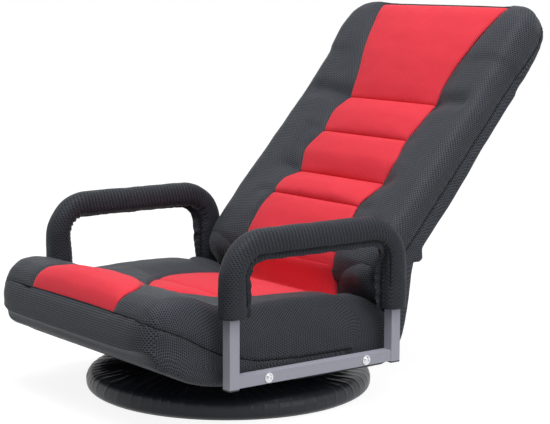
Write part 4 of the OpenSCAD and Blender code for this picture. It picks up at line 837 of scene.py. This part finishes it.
def along_arm(step):
    """The arm's middle line in small steps: distance, y, z, direction, share of a bend and fullness."""
    front, rear, top, bend = (ARM[k] for k in ("front", "rear", "top", "bend"))
    post, rear_post = top - bend - ARM["hem_front"], top - bend - ARM["hem_rear"]
    arc = bend * math.pi / 2
    bar = rear - front - 2 * bend
    ends = np.cumsum([0, post, arc, bar, arc, rear_post])
    d = np.linspace(0, ends[-1], int(ends[-1] / step))
    first = np.clip((d - ends[1]) / arc, 0, 1) * math.pi / 2
    second = np.clip((d - ends[3]) / arc, 0, 1) * math.pi / 2
    y = front + bend * (1 - np.cos(first)) + np.clip(d - ends[2], 0, bar) + bend * np.sin(second)
    up = np.minimum(d, post) + bend * np.sin(first)
    down = bend * (1 - np.cos(second)) + np.maximum(d - ends[4], 0)
    keys = np.interp(np.arange(sum(ARM_PARTS) + 1), np.cumsum((0,) + ARM_PARTS), ends)
    return SimpleNamespace(d=d, y=y, z=ARM["hem_front"] + up - down, turn=-first - second, ends=ends,
                           bend=np.sin(2 * first) + np.sin(2 * second),
                           inner=pchip(keys, PAD_IN, d), outer=pchip(keys, PAD_OUT, d))


def on_arm(way, side, x, off, rows=slice(None)):
    """Points beside the arm's middle line by x, and by off from it towards the loop's inside."""
    y = way.y[rows, None] + off * np.cos(way.turn[rows, None])
    z = way.z[rows, None] + off * np.sin(way.turn[rows, None])
    return np.stack([side * ARM["x"] + x + 0 * y, y, z], -1)


def arm_sleeve(name, side):
    """The padded sleeve, with wrinkles inside the bends and the closing fold along the loop's inside."""
    way = along_arm(2.6)
    d = way.d[:, None]
    end, n = d[-1], 72
    angle = np.linspace(0, 2 * math.pi, n, endpoint=False)[None, :]
    c, s = np.cos(angle), np.sin(angle)
    sx, st = squared(c, 0.78), squared(s, 0.78)
    x = sx * ARM["half_w"] + 0 * d
    off = st * ARM["half_t"] * np.where(st > 0, way.inner[:, None], way.outer[:, None])
    bent = np.maximum(st, 0) ** 1.5 * way.bend[:, None]
    where = np.stack([d + 0 * x, x + 50 * side, off], -1)
    wave = np.sin(d / WRINKLE * 2 * math.pi + 2.2 * fractal(where, 26.0) + 1.6 * c)
    off = off - bent * (1.3 + 1.5 * wave)
    x = x * (1 - 0.03 * bent * wave)
    lumps = fractal(where + 70, 34.0)
    off = off + lumps * 0.9 * st
    x = x + lumps * 0.8 * sx
    seam = -6.0 * side
    lip = bump(x - seam, 1.8) * (st > 0)
    fold = bump(x - seam - 4.2, 3.0) * (st > 0)
    ruffle = 0.5 + 0.5 * np.sin(d / RUFFLE * 2 * math.pi + 3 * fractal(where + 11, 20.0))
    last = rise(d, end - 150, end - 70) * (1 - rise(d, end - 12, end))
    off = off - 2.6 * lip + fold * (0.8 + ruffle * (0.7 + 2.6 * last))
    narrower = 1 - 0.05 * np.exp(-np.minimum(d, end - d) / 5.0)
    off, x = off * narrower, x * narrower

    def bore(i):
        row = slice(i, i + 1)
        return on_arm(way, side, squared(c, 0.25) * ARM["bore"], squared(s, 0.25) * ARM["bore"], row)[0]

    def closing(i):
        rings = [on_arm(way, side, x[i] * f, off[i] * f, slice(i, i + 1))[0] + np.array([0, 0, up])
                 for f, up in ((0.93, 0.2), (0.80, -0.4), (0.62, 0.4))]
        return rings + [bore(i) + np.array([0, 0, 3.0])]

    inside = range(4, len(d) - 4, 6)
    rings = [bore(i) for i in inside[2::-1]] + closing(0)[::-1] + list(on_arm(way, side, x, off))
    co = np.array(rings + closing(len(d) - 1) + [bore(i) for i in inside[:-4:-1]])
    across, up = lengths(co, wrap=True)
    across = across * (SLEEVE_ROUND / np.maximum(across[:, -1:], 1e-6))
    return grid(name, co, np.stack([across, up], -1), wrap=True, flip=side > 0)


def arm_flap(name, side):
    """The sewn edge of the sleeve: a doubled strip of mesh that stands out along the inside of the loop,
    ruffled on the rear post."""
    way = along_arm(2.2)
    d, end = way.d, way.d[-1]
    bend, down = way.ends[1], way.ends[4]
    wide = pchip([0, 18, 60, bend + 60, down - 120, down - 40, down + 10, end - 30, end],
                 [3, 5, 7.0, 6.5, 7.0, 10, 16.5, 15.5, 11], d)
    ruffled = rise(d, down - 70, down)
    wave = along_noise(d, 0, 40 * side, 17.0)
    sway = along_noise(d, 300, 40 * side, 33.0)
    wide = wide * (1 + 0.14 * wave)
    seam = pchip([0, down - 60, down + 20, end], [12.5, 12.5, -4.0, -6.0], d)
    seam = side * seam + 1.2 * sway
    rows = []
    for f in (-0.35, 0.0, 0.3, 0.6, 0.85, 1.0):
        off = ARM["half_t"] * way.inner * 0.985 - 1.0 + wide * f
        x = seam + max(f, 0) * ((2.2 + 7.0 * ruffled) * wave + side * 1.5)
        rows.append(on_arm(way, side, x[:, None], off[:, None]))
    return skin(name, np.concatenate(rows, 1), 2.0)


def arm_slit(name, side):
    """A near-black cord of painted shade in the slit where the sleeve closes, on the outer lower corner of the
    loop's inside.
    """
    way = along_arm(3.0)
    d, post, rear_post = way.d, way.ends[1], way.ends[5] - way.ends[4]
    wave = along_noise(d, 0, 90 * side, 22.0)
    off = ARM["half_t"] * way.inner * 0.80 - 2.0 * way.bend + 0.8 * wave
    path = on_arm(way, side, side * (15.8 + 0.5 * wave)[:, None], off[:, None])[:, 0]
    shade_cord(name, [path[(d > post * 0.25) & (d < d[-1] - rear_post * 0.5)]], 1.3, "seat")


def arms_soft():
    for side, word in ((1, "left"), (-1, "right")):
        ob = joined(arm_sleeve("arm_sleeve_" + word, side), arm_flap("arm_flap_" + word, side))
        ob.data.polygons.foreach_set("use_smooth", [True] * len(ob.data.polygons))
        finish_piece(ob, BLACK_ARM, "seat", ["arm_pad_" + word])
        # The slit's near-black cord is painted shade
        arm_slit("arm_slit_shade_" + word, side)


# Base cover: radius and height of its rim, the elastic hem on top, the rubber ring's height, how many folds
COVER = dict(r=corners("base_cover_band")[1][0], rim=36.0, hem_r=136.0, hem_z=50.0, rubber=5.0)
FOLDS = 64


def base_soft():
    """The leatherette over the ring, with folds that run in from the rim as an elastic hem gathers them."""
    r0, rim, hem_r, hem_z, rubber = COVER.values()
    rim_in = r0 - rim / 3
    keys = [(r0 - rim * 0.30, rubber / 3), (r0 - rim * 0.18, rubber / 3 + 0.4)]
    keys += [(r0 - rim * inset, rim * up)
             for inset, up in ((0.04, 0.2), (0, 0.42), (0.03, 0.65), (0.14, 0.86), (1 / 3, 1))]
    keys += [(rim_in + (hem_r - rim_in) * inward, rim + (hem_z - rim) * up)
             for inward, up in ((0.12, 0.18), (0.35, 0.42), (0.70, 0.75), (1, 1))]
    pts = spline([np.array([k]) for k in keys], [3, 4, 5, 5, 5, 4, 6, 9, 10, 9])[:, 0]
    m = 900
    a = np.linspace(0, 2 * math.pi, m, endpoint=False)
    cos_a, sin_a = np.cos(a)[:, None], np.sin(a)[:, None]
    r = np.repeat(pts[:, 0][None, :], m, 0)
    z = np.repeat(pts[:, 1][None, :], m, 0)
    inward = np.clip((rim_in + 6 - pts[:, 0]) / 60, 0, 1)[None, :]
    band = np.clip((pts[:, 1] - 6) / 24, 0, 1) * (1 - np.clip((rim_in - pts[:, 0]) / 30, 0, 1))
    band = band[None, :]
    ring = np.concatenate([cos_a, sin_a, 0 * cos_a], 1) * 260
    where = np.stack([cos_a * r, sin_a * r, z], -1)
    drift = fractal(ring, 120.0)[:, None]
    jitter = fractal(where, 46.0)
    phase = a[:, None] * FOLDS + drift * 5.0 + (r0 - r) * 0.048 + jitter * 1.3
    folds = 1 - np.abs(np.sin(phase / 2)) ** 0.7 * 2
    fine = 1 - np.abs(np.sin(phase * 1.37 + 1.3 + jitter * 2.0)) ** 0.8 * 2
    strength = 0.55 + 0.45 * fractal(ring + 500, 90.0)[:, None]
    patches = np.maximum(fractal(ring + 900, 40.0), 0)[:, None]
    lift = folds * strength * 2.9 * inward + fine * 1.2 * inward * strength
    lift = lift + band * np.maximum(folds, 0) * patches * 1.2
    lift = lift + fractal(where + 77, 60.0) * 0.8 * (0.3 + inward)
    z = z + lift * (0.25 + 0.75 * np.clip((z - 20) / 16, 0, 1))
    r = r + band * (lift * 0.5 + np.maximum(folds, -0.2) * (0.5 + strength) * 1.1)

    thick = 1.3
    flow = np.gradient(pts, axis=0)
    normal = np.stack([flow[:, 1], -flow[:, 0]], -1)
    normal = normal / np.linalg.norm(normal, axis=1)[:, None] * thick
    inner_r, inner_z = (r - normal[:, 0])[:, ::-1], (z - normal[:, 1])[:, ::-1]
    r, z = np.concatenate([r, inner_r], 1), np.concatenate([z, inner_z], 1)
    co = np.stack([cos_a * r, sin_a * r, np.maximum(z, 0.9)], -1)
    co = np.concatenate([co, co[:1]], 0)
    across = lengths(co, wrap=True)[0]
    up = 0.25 * np.linspace(0, 2 * math.pi, m + 1)[:, None] + 0 * across
    ob = grid("base_leatherette", co, np.stack([across, up], -1), wrap=True)
    weld(ob, 1e-5)
    finish_piece(ob, POLYURETHANE, "base", ["base_cover", "base_cover_band"])


seat_soft()
back_soft()
waist_cloth()
crease_red()
arms_soft()
base_soft()


# Carried-over nodes: the gears and pawls are painted, and the others take their finish from their slot
FINISHES = dict(rubber=RUBBER, ring_steel=STEEL, leatherette=POLYURETHANE, zinc=ZINC, frame_steel=STEEL,
                cage_plastic=PALE_PLASTIC, arm_steel=POWDER, plug_plastic=MOULDED, webbing=WEBBING)
PAINTED = ("hinge_gear_left", "hinge_gear_right", "pawl_left", "pawl_right")
for entry in frame["record"]["subparts"]:
    mat = STEEL if entry["node"] in PAINTED else FINISHES.get(entry["material_slot"])
    if mat:
        node = frame["nodes"][entry["node"]]
        node.data.materials.clear()
        node.data.materials.append(mat)


# Stage, light and camera
FLOOR_HALF = 6.0
FLOOR_Z = -0.0005
# where the room's light comes from, how narrow, how strong and how dark its far side is
LIGHT_FROM = (0.52, 0.26, 0.81)
LIGHT_POWER, LIGHT_MOST, LIGHT_LEAST = 2.8, 1.05, 0.03
# the photograph's width and focal length in pixels, and the camera's turn, tilt, roll and place, fitted to it
PHOTO_W, FOCAL = 550, 1650.0
TURN, TILT, ROLL = (math.radians(v) for v in (52.72, 8.33, 0.24))
CAMERA_AT = (2.47597, -1.77604, 0.77523)


def seen_white(tree):
    """1 where the camera, a reflection or a transmission sees the background."""
    rays = tree.nodes.new("ShaderNodeLightPath")
    seen = maths(tree, "MAXIMUM", rays.outputs["Is Camera Ray"], rays.outputs["Is Glossy Ray"])
    return maths(tree, "MAXIMUM", seen, rays.outputs["Is Transmission Ray"])


def pale_floor():
    """A pale floor that is white to the camera and keeps the object's shadow."""
    points = [(x * FLOOR_HALF, y * FLOOR_HALF, FLOOR_Z) for x, y in ((-1, -1), (1, -1), (1, 1), (-1, 1))]
    floor = new_object("floor", points, [(0, 1, 2, 3)])
    mat, tree, bsdf = new_material("floor_white", (0.26, 0.26, 0.26), 0.9, spec=0.0)
    level = maths(tree, "MULTIPLY", seen_white(tree), 0.88)
    glow = add(tree, "ShaderNodeEmission", Strength=level)
    both = add(tree, "ShaderNodeAddShader")
    tree.links.new(bsdf.outputs[0], both.inputs[0])
    tree.links.new(glow.outputs[0], both.inputs[1])
    out = next(n for n in tree.nodes if n.type == "OUTPUT_MATERIAL")
    tree.links.new(both.outputs[0], out.inputs["Surface"])
    floor.data.materials.append(mat)


def room():
    """Light from above and from the far right, dimmer from the front left, and white to the camera."""
    world = bpy.data.worlds.new("studio")
    scene.world = world
    world.use_nodes = True
    tree = world.node_tree
    tree.nodes.clear()
    coords = tree.nodes.new("ShaderNodeTexCoord").outputs["Generated"]
    facing = add(tree, "ShaderNodeVectorMath", operation="DOT_PRODUCT")
    tree.links.new(coords, facing.inputs[0])
    facing.inputs[1].default_value = LIGHT_FROM
    half = maths(tree, "MULTIPLY", facing.outputs["Value"], 0.5)
    ramped = maths(tree, "POWER", maths(tree, "ADD", half, 0.5, clamp=True), LIGHT_POWER)
    level = maths(tree, "ADD", maths(tree, "MULTIPLY", ramped, LIGHT_MOST), LIGHT_LEAST)
    lit = add(tree, "ShaderNodeBackground", Color=(0.97, 0.98, 1.0, 1), Strength=level)
    white = add(tree, "ShaderNodeBackground", Color=(1, 1, 1, 1), Strength=1.0)
    mix = tree.nodes.new("ShaderNodeMixShader")
    for value, socket in zip((seen_white(tree), lit.outputs[0], white.outputs[0]), mix.inputs):
        tree.links.new(value, socket)
    add(tree, "ShaderNodeOutputWorld", Surface=mix.outputs[0])


def area_light(name, at, target, size, power):
    data = bpy.data.lights.new(name, "AREA")
    data.shape = "RECTANGLE"
    data.size, data.size_y = size
    data.energy = power
    ob = bpy.data.objects.new(name, data)
    scene.collection.objects.link(ob)
    ob.location = at
    ob.rotation_mode = "QUATERNION"
    ob.rotation_quaternion = (Vector(target) - Vector(at)).to_track_quat("-Z", "Y")


def camera():
    """The camera at the photograph's place."""
    data = bpy.data.cameras.new("camera")
    cam = bpy.data.objects.new("camera", data)
    scene.collection.objects.link(cam)
    scene.camera = cam
    data.sensor_width = 36.0
    data.lens = FOCAL / PHOTO_W * data.sensor_width
    forward = Vector((-math.sin(TURN) * math.cos(TILT), math.cos(TURN) * math.cos(TILT), -math.sin(TILT)))
    level = Vector((math.cos(TURN), math.sin(TURN), 0))
    upright = level.cross(forward)
    right = math.cos(ROLL) * level + math.sin(ROLL) * upright
    up = -math.sin(ROLL) * level + math.cos(ROLL) * upright
    matrix = Matrix((right, up, -forward)).transposed().to_4x4()
    matrix.translation = Vector(CAMERA_AT)
    cam.matrix_world = matrix


pale_floor()
room()
area_light("top", (0.65, -0.45, 2.7), (0, 0.05, 0.3), (1.9, 1.5), 52)
area_light("side", (2.6, 0.7, 1.0), (0, 0.05, 0.35), (1.2, 1.2), 8)
camera()
scene.view_settings.view_transform = "Standard"
